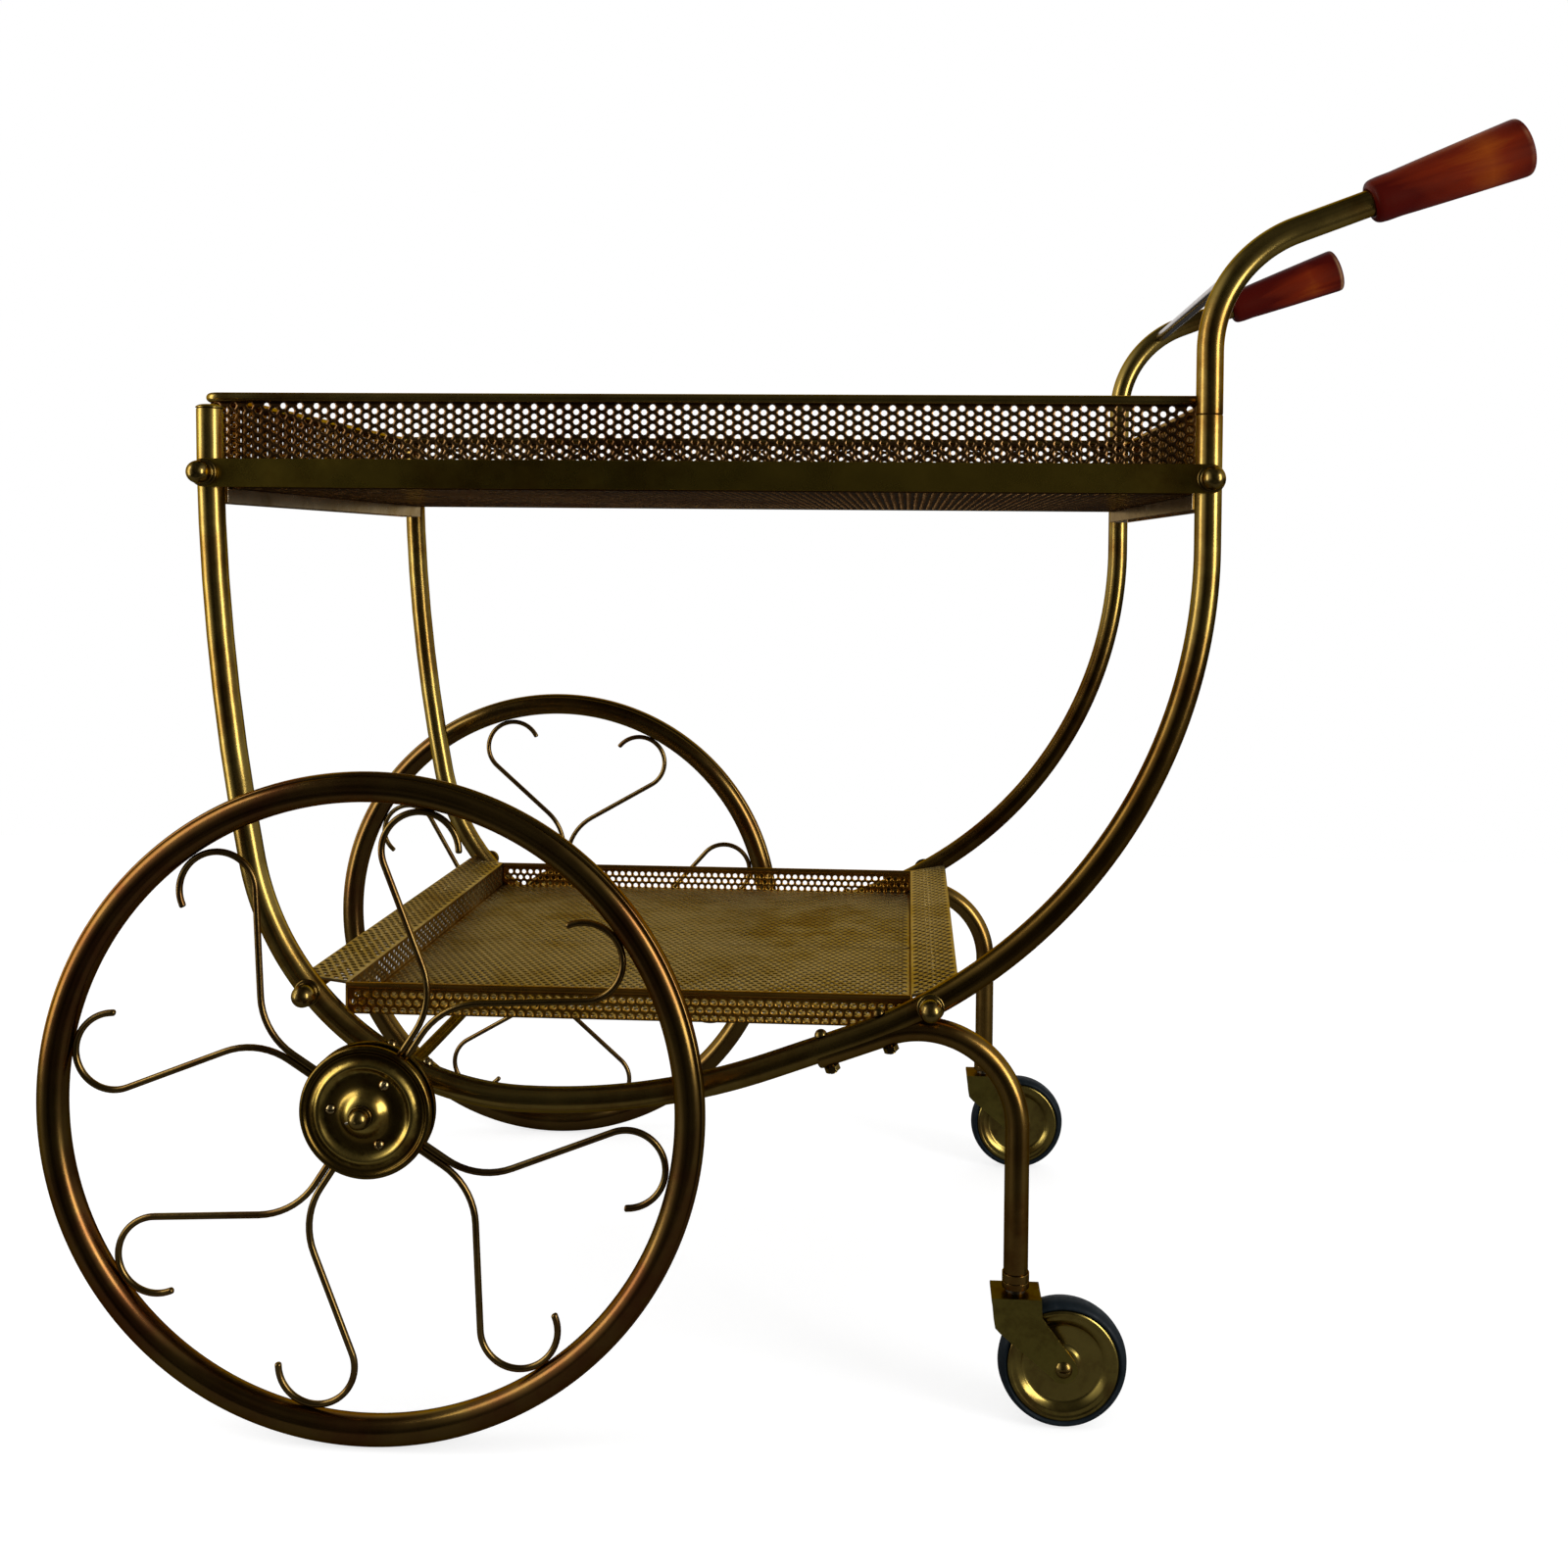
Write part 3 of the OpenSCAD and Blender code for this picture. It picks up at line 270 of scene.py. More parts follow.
# Depth of the finest marks, outermost ring of the tarnish and painted shade in mm, and what the painted shade
# on the sweep leaves of the colour
FINE = 0.2 * MM
RINGS_OUT = 50
SWEEP_SHADE_TINT = (0.38, 0.30, 0.24, 1)
# Painted shade on the sweep sets in between these places along the trolley, and between these heights on the
# way down
SWEEP_SHADE_X = LEFT_X + 0.30, LEFT_X + 0.50
SWEEP_SHADE_Z = 0.42, 0.55


def add_node(tree, kind, inputs=(), **settings):
    """A node with its settings made, and with its inputs set to values or linked to sockets."""
    made = tree.nodes.new(kind)
    for key, value in settings.items():
        setattr(made, key, value)
    for key, value in dict(inputs).items():
        if isinstance(value, bpy.types.NodeSocket):
            tree.links.new(value, made.inputs[key])
        else:
            made.inputs[key].default_value = value
    return made


class Finish:
    """A material whose nodes are added one by one."""

    def __init__(self, name):
        self.material = bpy.data.materials.new(name)
        self.material.use_nodes = True
        self.shader = self.material.node_tree.nodes["Principled BSDF"]
        self.place = self.node("ShaderNodeTexCoord").outputs["Object"]

    def set(self, **sockets):
        for name, value in sockets.items():
            self.shader.inputs[name.replace("_", " ")].default_value = value

    def node(self, kind, inputs=(), **settings):
        return add_node(self.material.node_tree, kind, inputs, **settings)

    def stretched(self, scale, turn=(0, 0, 0)):
        """Object coordinates turned and then stretched."""
        turned_place = self.node("ShaderNodeMapping", {"Vector": self.place, "Rotation": turn})
        return self.node("ShaderNodeMapping", {"Vector": turned_place.outputs[0], "Scale": scale}).outputs[0]

    def noise(self, scale, detail=4.0, rough=0.55, vector=None, distortion=0.0):
        inputs = {"Vector": vector or self.place, "Scale": scale, "Detail": detail, "Roughness": rough,
                  "Distortion": distortion}
        return self.node("ShaderNodeTexNoise", inputs).outputs["Fac"]

    def spread(self, value, low, high, from_low=0.3, from_high=0.7):
        """A value from its own span to another one."""
        inputs = {"Value": value, "From Min": from_low, "From Max": from_high, "To Min": low, "To Max": high}
        return self.node("ShaderNodeMapRange", inputs).outputs[0]

    def ramp(self, value, stops):
        made = self.node("ShaderNodeValToRGB", {"Fac": value})
        elements = made.color_ramp.elements
        while len(elements) < len(stops):
            elements.new(0.5)
        for element, (position, colour) in zip(elements, stops):
            element.position = position
            element.color = (*colour, 1)
        return made.outputs["Color"]

    def bump(self, height, strength, distance):
        made = self.node("ShaderNodeBump", {"Height": height, "Strength": strength, "Distance": distance})
        self.join(made.outputs[0], "Normal")

    def join(self, socket, name):
        self.material.node_tree.links.new(socket, self.shader.inputs[name])

    def summed(self, value, factor, offset):
        """value factor + offset"""
        made = self.node("ShaderNodeMath", {0: value, 1: factor, 2: offset}, operation="MULTIPLY_ADD")
        return made.outputs[0]

    def product(self, first, second):
        return self.node("ShaderNodeMath", {0: first, 1: second}, operation="MULTIPLY").outputs[0]

    def mixed(self, factor, first, second, **settings):
        """Two colours mixed by a factor."""
        made = self.node("ShaderNodeMix", {"Factor": factor, "A": first, "B": second}, data_type="RGBA",
                         **settings)
        return made.outputs["Result"]

    def grey(self, level):
        """A level as a colour."""
        return self.node("ShaderNodeCombineXYZ", {0: level, 1: level, 2: level}).outputs[0]

    def axis(self, vector, name):
        return self.node("ShaderNodeSeparateXYZ", {0: vector}).outputs[name]


def brass(name, clean, tarnish, rough=(0.20, 0.28), patch=26.0, grain=0.003, tarnish_shade_rings=(), underside=1.0,
          topside=1.0, painted_sweep_shade=False):
    """Aged brass: wide patches of tarnish, finer mottling, handling marks in the gloss and a light grain.
    Each ring pair gives a radius round the big axle, in mm, and a tone: tarnish and painted shade in the
    hollows and the outer edge of a pressed disc. Faces turned down, and faces turned up, keep only the given
    share of the colour, as painted shade. The painted sweep shade turns the brass dark brown along the sweep
    of the side frames."""
    f = Finish(name)
    f.set(Metallic=1.0, Specular_Tint=(0.55, 0.40, 0.2, 1))
    patches = f.noise(patch, detail=6.0, rough=0.6, distortion=0.4)
    mottle = f.noise(patch * 7, detail=5.0, rough=0.65)
    age = f.summed(mottle, 0.35, f.spread(patches, -0.175, 0.825, 0.0, 1.0))
    paler = [min(1, c * 1.15) for c in clean]
    tint = f.ramp(age, [(0.34, tarnish), (0.52, clean), (0.72, paler)])
    # Tarnish and painted shade: the tone goes by the radius round the big axle, darker in the dish and at the
    # outer edge
    if tarnish_shade_rings:
        across = f.node("ShaderNodeVectorMath", {0: f.place, 1: (AXLE_X, 0, AXLE_Z)}, operation="SUBTRACT")
        flat = f.node("ShaderNodeVectorMath", {0: across.outputs[0], 1: (1, 0, 1)}, operation="MULTIPLY")
        radius = f.node("ShaderNodeVectorMath", {0: flat.outputs[0]}, operation="LENGTH").outputs["Value"]
        painted_light_key = f.summed(mottle, 0.12, f.spread(radius, -0.06, 0.94, 0.0, RINGS_OUT * MM))
        tone = f.ramp(painted_light_key, [(r / RINGS_OUT, (v, v ** 1.12, v ** 1.2)) for r, v in tarnish_shade_rings])
        tint = f.mixed(1.0, tint, tone, blend_type="MULTIPLY")
    # Painted shade: faces turned down, and faces turned up, keep only the given share of the colour
    if underside < 1 or topside < 1:
        up = f.axis(f.node("ShaderNodeNewGeometry").outputs["Normal"], "Z")
        below, above = f.spread(up, underside, 1.0, -0.8, -0.4), f.spread(up, 1.0, topside, 0.5, 0.9)
        tint = f.mixed(1.0, tint, f.grey(f.product(below, above)), blend_type="MULTIPLY")
    # Painted shade: the lower right part of the sweep turns dark brown by height and by place along the
    # trolley
    if painted_sweep_shade:
        low = f.spread(f.axis(f.place, "Z"), 1.0, 0.0, *SWEEP_SHADE_Z)
        right = f.spread(f.axis(f.place, "X"), 0.0, 1.0, *SWEEP_SHADE_X)
        tint = f.mixed(f.product(low, right), tint, SWEEP_SHADE_TINT, blend_type="MULTIPLY")
    f.join(tint, "Base Color")
    marks = f.noise(40.0, detail=4.0, rough=0.55)
    f.join(f.spread(marks, *rough), "Roughness")
    f.bump(f.noise(900.0, detail=3.0, vector=f.stretched((1, 1, 0.08))), grain, FINE)
    return f.material


def dark_rubber():
    """Nearly black rubber with a little grey dust."""
    f = Finish("tyre_rubber")
    f.set(Metallic=0.0, Specular_IOR_Level=0.15)
    dust = f.noise(60.0, detail=8.0, rough=0.7)
    tint = f.ramp(dust, [(0.35, (0.003, 0.006, 0.008)), (0.6, (0.007, 0.012, 0.016)),
                         (0.8, (0.03, 0.03, 0.03))])
    f.join(tint, "Base Color")
    f.join(f.spread(f.noise(300.0), 0.35, 0.62), "Roughness")
    f.bump(f.noise(1500.0, detail=5.0), 0.25, FINE)
    return f.material


def mahogany(name, painted_light_shift):
    """Red-brown stained wood: broad soft streaks along the grip, a painted highlight that lightens its middle,
    a shift that paints a shaded grip darker, pores, a pale line at the big end's edge and a thin clear
    varnish."""
    f = Finish(name)
    f.set(Metallic=0.0, Roughness=0.45, Specular_IOR_Level=0.1, Coat_Weight=0.05, Coat_Roughness=0.2,
          Specular_Tint=(1.0, 0.7, 0.4, 1), Coat_Tint=(1.0, 0.8, 0.6, 1))
    slope = math.radians(HANDLE_SLOPE)
    along = f.stretched((5, 38, 38), turn=(0, slope, 0))
    noise = f.noise(1.0, detail=6.0, rough=0.5, vector=along, distortion=0.6)
    # how far along the grip, from 0 at the small end to 1 at the big end
    turned_place = f.node("ShaderNodeMapping", {"Vector": f.place, "Rotation": (0, slope, 0)})
    reach = f.axis(turned_place.outputs[0], "X")
    start = BEND_X * math.cos(slope) + BEND_Z * math.sin(slope) + HANDLE_BARE
    part = f.spread(reach, 0.0, 1.0, start, start + GRIP_LEN)
    # Painted highlight: the grip is lighter towards its middle and darker at its ends; the shift paints a
    # shaded grip darker
    painted_light_key = f.ramp(part, [(0.0, (0.28, 0.28, 0.28)), (0.3, (0.46, 0.46, 0.46)), (0.72, (0.65, 0.65, 0.65)),
                         (0.96, (0.50, 0.50, 0.50))])
    streaks = f.summed(noise, 0.9, f.spread(painted_light_key, painted_light_shift - 0.45, painted_light_shift + 0.55, 0.0, 1.0))
    pores = f.noise(1.0, detail=4.0, rough=0.7, vector=f.stretched((90, 1400, 1400), turn=(0, slope, 0)))
    tint = f.ramp(streaks, [(0.34, (0.055, 0.001, 0.0005)), (0.49, (0.125, 0.009, 0.001)),
                            (0.62, (0.235, 0.044, 0.003))])
    dark = f.mixed(f.spread(pores, 0.0, 0.5, 0.58, 0.75), tint, (0.02, 0.006, 0.004, 1))
    # A pale line just short of the big end's edge, broken up by the streaks
    paler = f.ramp(part, [(0.955, (0, 0, 0)), (0.975, (0.6, 0.6, 0.6)), (0.985, (0, 0, 0))])
    pale = f.product(paler, f.spread(noise, 0.0, 1.0, 0.35, 0.6))
    f.join(f.mixed(pale, dark, (0.42, 0.26, 0.13, 1)), "Base Color")
    f.bump(pores, 0.12, FINE)
    return f.material


def plated_rod():
    """Worn plating, warm grey with long soft stains along the rod."""
    f = Finish("rod_plating")
    f.set(Metallic=1.0)
    tint = f.noise(9.0, detail=5.0, vector=f.stretched((1, 0.25, 1)))
    f.join(f.ramp(tint, [(0.35, (0.30, 0.24, 0.22)), (0.55, (0.42, 0.36, 0.33)), (0.7, (0.50, 0.45, 0.40))]),
           "Base Color")
    f.join(f.spread(f.noise(160.0, detail=6.0), 0.14, 0.28), "Roughness")
    f.bump(f.noise(700.0), 0.02, FINE)
    return f.material


def plain_steel():
    """Dull steel with brown stains."""
    f = Finish("dull_steel")
    f.set(Metallic=1.0)
    tint = f.ramp(f.noise(50.0, detail=7.0), [(0.35, (0.20, 0.17, 0.12)), (0.6, (0.42, 0.37, 0.28))])
    f.join(tint, "Base Color")
    f.join(f.spread(f.noise(220.0, detail=6.0), 0.26, 0.46), "Roughness")
    f.bump(f.noise(900.0), 0.05, FINE)
    return f.material


# Tube brass, with painted shade on the sweep of the side frames
TUBE = brass("tube_brass", (0.36, 0.245, 0.06), (0.21, 0.105, 0.021), patch=9.0, grain=0.002, painted_sweep_shade=True)
LEG = brass("leg_brass", (0.25, 0.145, 0.034), (0.165, 0.072, 0.015), patch=12.0, grain=0.002)
BAND = brass("band_brass", (0.30, 0.205, 0.028), (0.17, 0.09, 0.009), rough=(0.24, 0.32), patch=6.0)
CHANNEL = brass("channel_brass", (0.80, 0.66, 0.46), (0.60, 0.46, 0.29), patch=20.0)
# Painted shade on the sheet's downward faces
SHEET = brass("sheet_brass", (0.45, 0.34, 0.155), (0.28, 0.18, 0.06), rough=(0.26, 0.36), patch=7.0,
              underside=0.25)
# Painted shade: a darker, redder copy of the sheet brass for the lower tray's long walls and rolled edges
SHADED_WALL = brass("shaded_wall_brass", (0.40, 0.20, 0.03), (0.27, 0.12, 0.014), rough=(0.24, 0.34), patch=7.0)
# Painted shade: a darker copy of the sheet brass for the upper tray, darker still on its downward faces
SHADED_SHEET = brass("shaded_sheet_brass", (0.20, 0.108, 0.04), (0.12, 0.052, 0.018), rough=(0.24, 0.34),
                   patch=7.0, underside=0.12)
RIM = brass("rim_brass", (0.19, 0.112, 0.028), (0.145, 0.057, 0.018), rough=(0.18, 0.26), patch=7.0)
SPOKE = brass("spoke_brass", (0.21, 0.13, 0.038), (0.14, 0.068, 0.020), patch=30.0)
# Pressed brass, with tarnish and painted shade ring by ring round the axle
PRESSED = brass("pressed_brass", (0.46, 0.325, 0.075), (0.30, 0.17, 0.032), rough=(0.20, 0.30), patch=40.0,
                tarnish_shade_rings=((12, 1.0), (15, 0.42), (22, 0.34), (26, 0.95), (30, 0.95), (32, 0.3), (36, 0.24),
                       (40, 0.4)))
# Painted shade on the fork's upward faces
FORK = brass("fork_brass", (0.25, 0.195, 0.04), (0.18, 0.13, 0.026), rough=(0.26, 0.38), patch=60.0,
             topside=0.3)
DISC = brass("caster_brass", (0.33, 0.245, 0.06), (0.20, 0.125, 0.032), rough=(0.18, 0.28), patch=34.0)
BRIGHT = brass("bright_brass", (0.42, 0.32, 0.15), (0.28, 0.18, 0.06), rough=(0.16, 0.26), patch=50.0)
NUT = brass("nut_brass", (0.26, 0.175, 0.048), (0.16, 0.09, 0.022), rough=(0.18, 0.28), patch=50.0)
RUBBER = dark_rubber()
# The far grip is the same mahogany, shifted darker as painted shade
WOOD = {"near": mahogany("grip_mahogany", 0.0), "far": mahogany("shaded_far_grip_mahogany", -0.2)}
ROD = plated_rod()
STEEL = plain_steel()


# Side frames, handles and legs

# Centres of the heel's and the sole's arcs, the end of the sole, and the straight slope after it
HEEL_TURN = 90 - SHIN_TURN - HEEL_REST
SHIN = math.radians(SHIN_TURN)
HEEL_CENTRE = np.array([LEFT_X + SHIN_R * (1 - math.cos(SHIN)) + HEEL_R * math.cos(SHIN),
                        LEG_TOP - (SHIN_R - HEEL_R) * math.sin(SHIN)])
REST = math.radians(HEEL_REST)
SOLE_CENTRE = HEEL_CENTRE + (SOLE_R - HEEL_R) * np.array([math.sin(REST), math.cos(REST)])
SLOPE = math.radians(SOLE_TURN)
SOLE_END = SOLE_CENTRE + SOLE_R * np.array([math.sin(SLOPE), -math.cos(SLOPE)])
RUN = (RIGHT_X - SWEEP_R * (1 - math.sin(SLOPE)) - SOLE_END[0]) / math.cos(SLOPE)
SWEEP_TOP = SOLE_END[1] + RUN * math.sin(SLOPE) + SWEEP_R * math.cos(SLOPE)


def bent_pair(name, node, path, radius, finish, end=CUT_END):
    """A bent tube or bar on each side of the trolley, along the same path."""
    for side, s in SIDES.items():
        solid_piece(f"{name}_{side}", "root", finish,
                    [round_bar(path, s * FRAME_Y, radius, end)], [f"{node}_{side}"])


def side_frames():
    """Shin, heel, sole, slope, sweep and neck of the side frames, as one bent tube each."""
    steps = [(SHIN_R, SHIN_TURN), (HEEL_R, HEEL_TURN), (SOLE_R, SOLE_TURN + HEEL_REST), (RUN, 0),
             (SWEEP_R, 90 - SOLE_TURN), (SEAM_Z - SWEEP_TOP, 0)]
    path = bent_path((LEFT_X, LEG_TOP), -90, steps, turn_step=1.2)
    bent_pair("frame_tube", "side_frame", path, TUBE_R, TUBE)


def handle_tubes():
    """Bent tubes that run on from the side frames and end inside the grips."""
    steps = [(NECK, 0), (HANDLE_R, HANDLE_SLOPE - 90), (HANDLE_BARE + GRIP_LEN * 0.9, 0)]
    bent_pair("handle_bend", "handle_tube", bent_path((RIGHT_X, SEAM_Z), 90, steps), TUBE_R, TUBE)


def caster_legs():
    """Upright bars that bend over and run half nested along the underside of the slope."""
    bend_x = CASTER_X - LEG_BEND_R
    slope_z = SOLE_END[1] + (bend_x - SOLE_END[0]) * math.tan(SLOPE)
    bend_z = slope_z - (LEG_NEST + LEG_BEND_R) / math.cos(SLOPE)
    steps = [(bend_z - LEG_FOOT, 0), (LEG_BEND_R, 90 + SOLE_TURN), (LEG_TAIL, 0)]
    bent_pair("leg_tube", "leg", bent_path((CASTER_X, LEG_FOOT), 90, steps), LEG_R, LEG, end=2 * MM)


def leg_tops():
    """Domed caps with a small lip, on the open tops of the left legs."""
    lip = TUBE_R + 0.4 * MM
    profile = soften([(0, 0), (lip, 0), (lip, 1.0 * MM), (TUBE_R * 0.8, 2.2 * MM), (TUBE_R * 0.4, 2.6 * MM),
                      (0, 2.6 * MM)])
    parts = [turned(profile, (LEFT_X, s * FRAME_Y, LEG_TOP), (0, 0, 1), sides=48) for s in SIDES.values()]
    solid_piece("leg_cap_pair", "root", TUBE, parts, ["leg_caps"])


def grips():
    """A tapered wooden handle: a small end rolled over the tube, a slow swell and a flat big end."""
    slope = math.radians(HANDLE_SLOPE)
    axis = np.array([math.cos(slope), 0, math.sin(slope)])
    small, big = GRIP_SMALL / 2, GRIP_BIG / 2
    profile = np.concatenate([
        soften([(TUBE_R, 1.0 * MM), (TUBE_R + 0.3 * MM, 0), (small - 3 * MM, 0), (small, 1.6 * MM),
                (small + 0.5 * MM, 8 * MM)], 3),
        [(small + (big - small) * (t ** 0.85), GRIP_LEN * (0.1 + 0.86 * t))
         for t in np.linspace(0.08, 1, 12)],
        soften([(big, GRIP_LEN - 2.6 * MM), (big - 0.2 * MM, GRIP_LEN - 0.8 * MM),
                (big - 1.6 * MM, GRIP_LEN), (big * 0.5, GRIP_LEN - 0.2 * MM), (0, GRIP_LEN - 0.3 * MM)], 2)])
    for side, s in SIDES.items():
        start = np.array([BEND_X, s * FRAME_Y, BEND_Z]) + axis * HANDLE_BARE
        solid_piece(f"wooden_grip_{side}", "root", WOOD[side],
                    [turned(profile, start, axis, sides=72)], [f"grip_{side}"])


side_frames()
handle_tubes()
caster_legs()
leg_tops()
grips()

# Punched sheets

UPPER_PITCH, LOWER_PITCH = 6.1 * MM, 5.77 * MM
HOLE_R = 1.95 * MM
HOLE_SIDES = 8
SHEET_T = 1.0 * MM
HOLE_EDGE = 0.6 * MM
FLOOR_MARGIN = (2 * MM,) * 4
UPPER_CORNER = 8 * MM
TOP_HOLE = 2.3 * MM


def ring_triangles(outer, inner):
    """Triangles between an outer and an inner polygon, both starting at angle zero, walked round."""
    i = j = 0
    made = []
    while i < outer or j < inner:
        if j * outer >= i * inner and i < outer or j == inner:
            made.append((i % outer, (i + 1) % outer, outer + j % inner))
            i += 1
        else:
            made.append((i % outer, outer + (j + 1) % inner, outer + j % inner))
            j += 1
    return np.array(made)


def punched_cells(width, height, pitch, margin, upright=True, columns=None, last=None, part=0, parts=1):
    """Six-sided cells over a rectangle, each with a round hole where the hole clears the margins at the low
    and high ends of the width and of the height. Neighbours stand one pitch apart along the height, or along
    the width when not upright, and rows lie pitch cos 30 apart. Points past the rectangle are moved to its
    edge. The even rows stand in the middle, or end with a hole at the given distance from the high end. Only
    the cells of one of several equal parts are made, so that parts share one pattern."""
    u_len, v_len = (width, height) if upright else (height, width)
    u_margin, v_margin = (margin[:2], margin[2:]) if upright else (margin[2:], margin[:2])
    step = pitch * math.sqrt(3) / 2
    stretch = u_len / (columns * step) if columns else 1.0
    step *= stretch
    count_u, count_v = columns or int(u_len / step) + 3, int(v_len / pitch) + 3
    first_u = 0.0 if columns else (u_len - (count_u - 1) * step) / 2
    fitting = int((v_len - sum(v_margin) - 2 * HOLE_R) / pitch)
    end_v = (v_margin[1] - v_margin[0] + v_len - fitting * pitch) / 2 if last is None else last
    first_v = v_len - end_v - (count_v - 2) * pitch
    i, j = (k.ravel() for k in np.meshgrid(np.arange(count_u), np.arange(count_v), indexing="ij"))
    kept = i * parts // count_u == part
    i, j = i[kept], j[kept]
    cu, cv = first_u + i * step, first_v + j * pitch + (i % 2) * pitch / 2
    angle = np.radians(np.arange(6) * 60)
    hexagon = np.stack([np.cos(angle) * stretch, np.sin(angle)], -1) * pitch / math.sqrt(3)
    turn = np.radians(np.arange(HOLE_SIDES) * 360 / HOLE_SIDES)
    hole = np.stack([np.cos(turn), np.sin(turn)], -1) * HOLE_R
    clear = (cv > v_margin[0] + HOLE_R) & (cv < v_len - v_margin[1] - HOLE_R)
    if not columns:
        clear &= (cu > u_margin[0] + HOLE_R) & (cu < u_len - u_margin[1] - HOLE_R)
    centre = np.stack([cu, cv], -1)[:, None]
    corners = np.concatenate([centre + hexagon, centre + hole], 1)
    ring = ring_triangles(6, HOLE_SIDES)
    fan = np.array([(0, 1, 2), (0, 2, 3), (0, 3, 4), (0, 4, 5)])
    base = (np.arange(len(cu)) * (6 + HOLE_SIDES))[:, None, None]
    tris = np.concatenate([(base + ring)[clear].reshape(-1, 3), (base + fan)[~clear].reshape(-1, 3)])
    flat = corners.reshape(-1, 2)
    if not columns:
        flat[:, 0] = np.clip(flat[:, 0], 0, u_len)
    flat[:, 1] = np.clip(flat[:, 1], 0, v_len)
    return (flat, tris) if upright else (flat[:, ::-1], tris[:, ::-1])


def thick_sheet(name, middle_points, normals, tris, body, finish, replaced=()):
    """A sheet of even thickness: both skins lie half of it from the middle, along the normal, and every edge
    that has a triangle on one side only, round the holes and the border, gets a wall."""
    key = np.round(middle_points / FLAT_WELD).astype(np.int64)
    _, first, same = np.unique(key, axis=0, return_index=True, return_inverse=True)
    points, normals = middle_points[first], normals[first]
    tris = same.ravel()[tris]
    a, b, c = (points[tris[:, k]] for k in range(3))
    tris = tris[np.linalg.norm(np.cross(b - a, c - a), axis=1) > NO_AREA]
    edges = np.concatenate([tris[:, [0, 1]], tris[:, [1, 2]], tris[:, [2, 0]]])
    _, index, counts = np.unique(np.sort(edges, 1), axis=0, return_index=True, return_counts=True)
    border = edges[index[counts == 1]]
    n = len(points)
    walls = np.stack([border[:, 1], border[:, 0], border[:, 0] + n, border[:, 1] + n], -1)
    skins = np.concatenate([points + normals * SHEET_T / 2, points - normals * SHEET_T / 2])
    mesh = build_mesh(name, skins, np.concatenate([tris, tris[:, ::-1] + n]), walls)
    smooth = np.zeros(len(mesh.polygons), bool)
    smooth[:2 * len(tris)] = True
    mesh.polygons.foreach_set("use_smooth", smooth)
    return place(name, mesh, body, finish, replaced)


def flat_panel(name, origin, along, across, width, height, pitch, margin, body, upright=True, replaced=(),
               finish=SHEET, part=0, parts=1):
    """A punched flat panel. Its middle plane starts at origin and runs along and across."""
    flat, tris = punched_cells(width, height, pitch, margin, upright, part=part, parts=parts)
    along, across = np.array(along, float), np.array(across, float)
    points = np.array(origin) + flat[:, :1] * along + flat[:, 1:] * across
    normals = np.broadcast_to(np.cross(along, across), points.shape)
    return thick_sheet(name, points, normals, tris, body, finish, replaced)


def loop_length(half_x, half_y, r):
    return 4 * (half_x - r) + 4 * (half_y - r) + 2 * math.pi * r


def rounded_loop(s, half_x, half_y, r):
    """Point and outward normal at length s round a rectangle with round corners, from the middle of its
    far side."""
    run_x, run_y, arc = 2 * (half_x - r), 2 * (half_y - r), math.pi * r / 2
    lengths = np.array([run_x / 2, arc, run_y, arc, run_x, arc, run_y, arc, run_x / 2])
    ends = np.cumsum(lengths)
    k = np.clip(np.searchsorted(ends, s, side="right"), 0, 8)
    t = s - np.concatenate([[0], ends])[k]
    angle = np.pi / 2 - np.array([0, 0, 1, 1, 2, 2, 3, 3, 4])[k] * np.pi / 2
    arcs = k % 2 == 1
    angle = np.where(arcs, angle - t / r, angle)
    normal = np.stack([np.cos(angle), np.sin(angle)], -1)
    corner_x = np.array([0, 1, 1, 1, 0, -1, -1, -1, 0])[k] * (half_x - r)
    corner_y = np.array([1, 1, 0, -1, -1, -1, 0, 1, 1])[k] * (half_y - r)
    x = np.where(arcs, corner_x + r * np.cos(angle), 0)
    y = np.where(arcs, corner_y + r * np.sin(angle), 0)
    runs = [k == n for n in (0, 2, 4, 6, 8)]
    straight_x = np.select(runs, [t, half_x, half_x - r - t, -half_x, r - half_x + t], 0)
    straight_y = np.select(runs, [half_y, half_y - r - t, -half_y, r - half_y + t, half_y], 0)
    return np.where(arcs, x, straight_x), np.where(arcs, y, straight_y), normal


def upper_tray():
    """One punched wall carried round a rectangle with round corners, and a punched floor in two parts."""
    low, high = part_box("upper_tray")
    half_x, half_y = (high.x - low.x) / 2 - SHEET_T / 2, (high.y - low.y) / 2 - SHEET_T / 2
    mid_x = (high.x + low.x) / 2
    r = UPPER_CORNER - SHEET_T / 2
    height = high.z - low.z - SHEET_T / 2
    around = loop_length(half_x, half_y, r)
    columns = 2 * round(around / (UPPER_PITCH * math.sqrt(3)))
    flat, tris = punched_cells(around, height, UPPER_PITCH, (0, 0, HOLE_EDGE, 0), columns=columns,
                               last=TOP_HOLE)
    x, y, normal = rounded_loop(flat[:, 0] % around, half_x, half_y, r)
    points = np.stack([mid_x + x, y, low.z + SHEET_T / 2 + flat[:, 1]], -1)
    normals = np.concatenate([normal, np.zeros((len(normal), 1))], 1)
    thick_sheet("upper_tray_wall", points, normals, tris[:, ::-1], "upper_tray", SHADED_SHEET,
                ["upper_tray"])
    for k in range(2):
        flat_panel(f"upper_tray_floor_{k}", (mid_x - half_x, -half_y, low.z + SHEET_T / 2), (1, 0, 0),
                   (0, 1, 0), 2 * half_x, 2 * half_y, UPPER_PITCH, FLOOR_MARGIN, "upper_tray",
                   replaced=["upper_tray"], finish=SHADED_SHEET, part=k, parts=2)


FLANGE_W, FLANGE_LIP = 29 * MM, 9 * MM
# Rise of the right flange for its length, and height of the left flange's tip above its rod
RIGHT_SLOPE = 0.2
TIP_RISE = 4.05 * MM
LOW_H = 20 * MM
PLAIN_LIP = 5 * MM
ROLL_R = 2.1 * MM


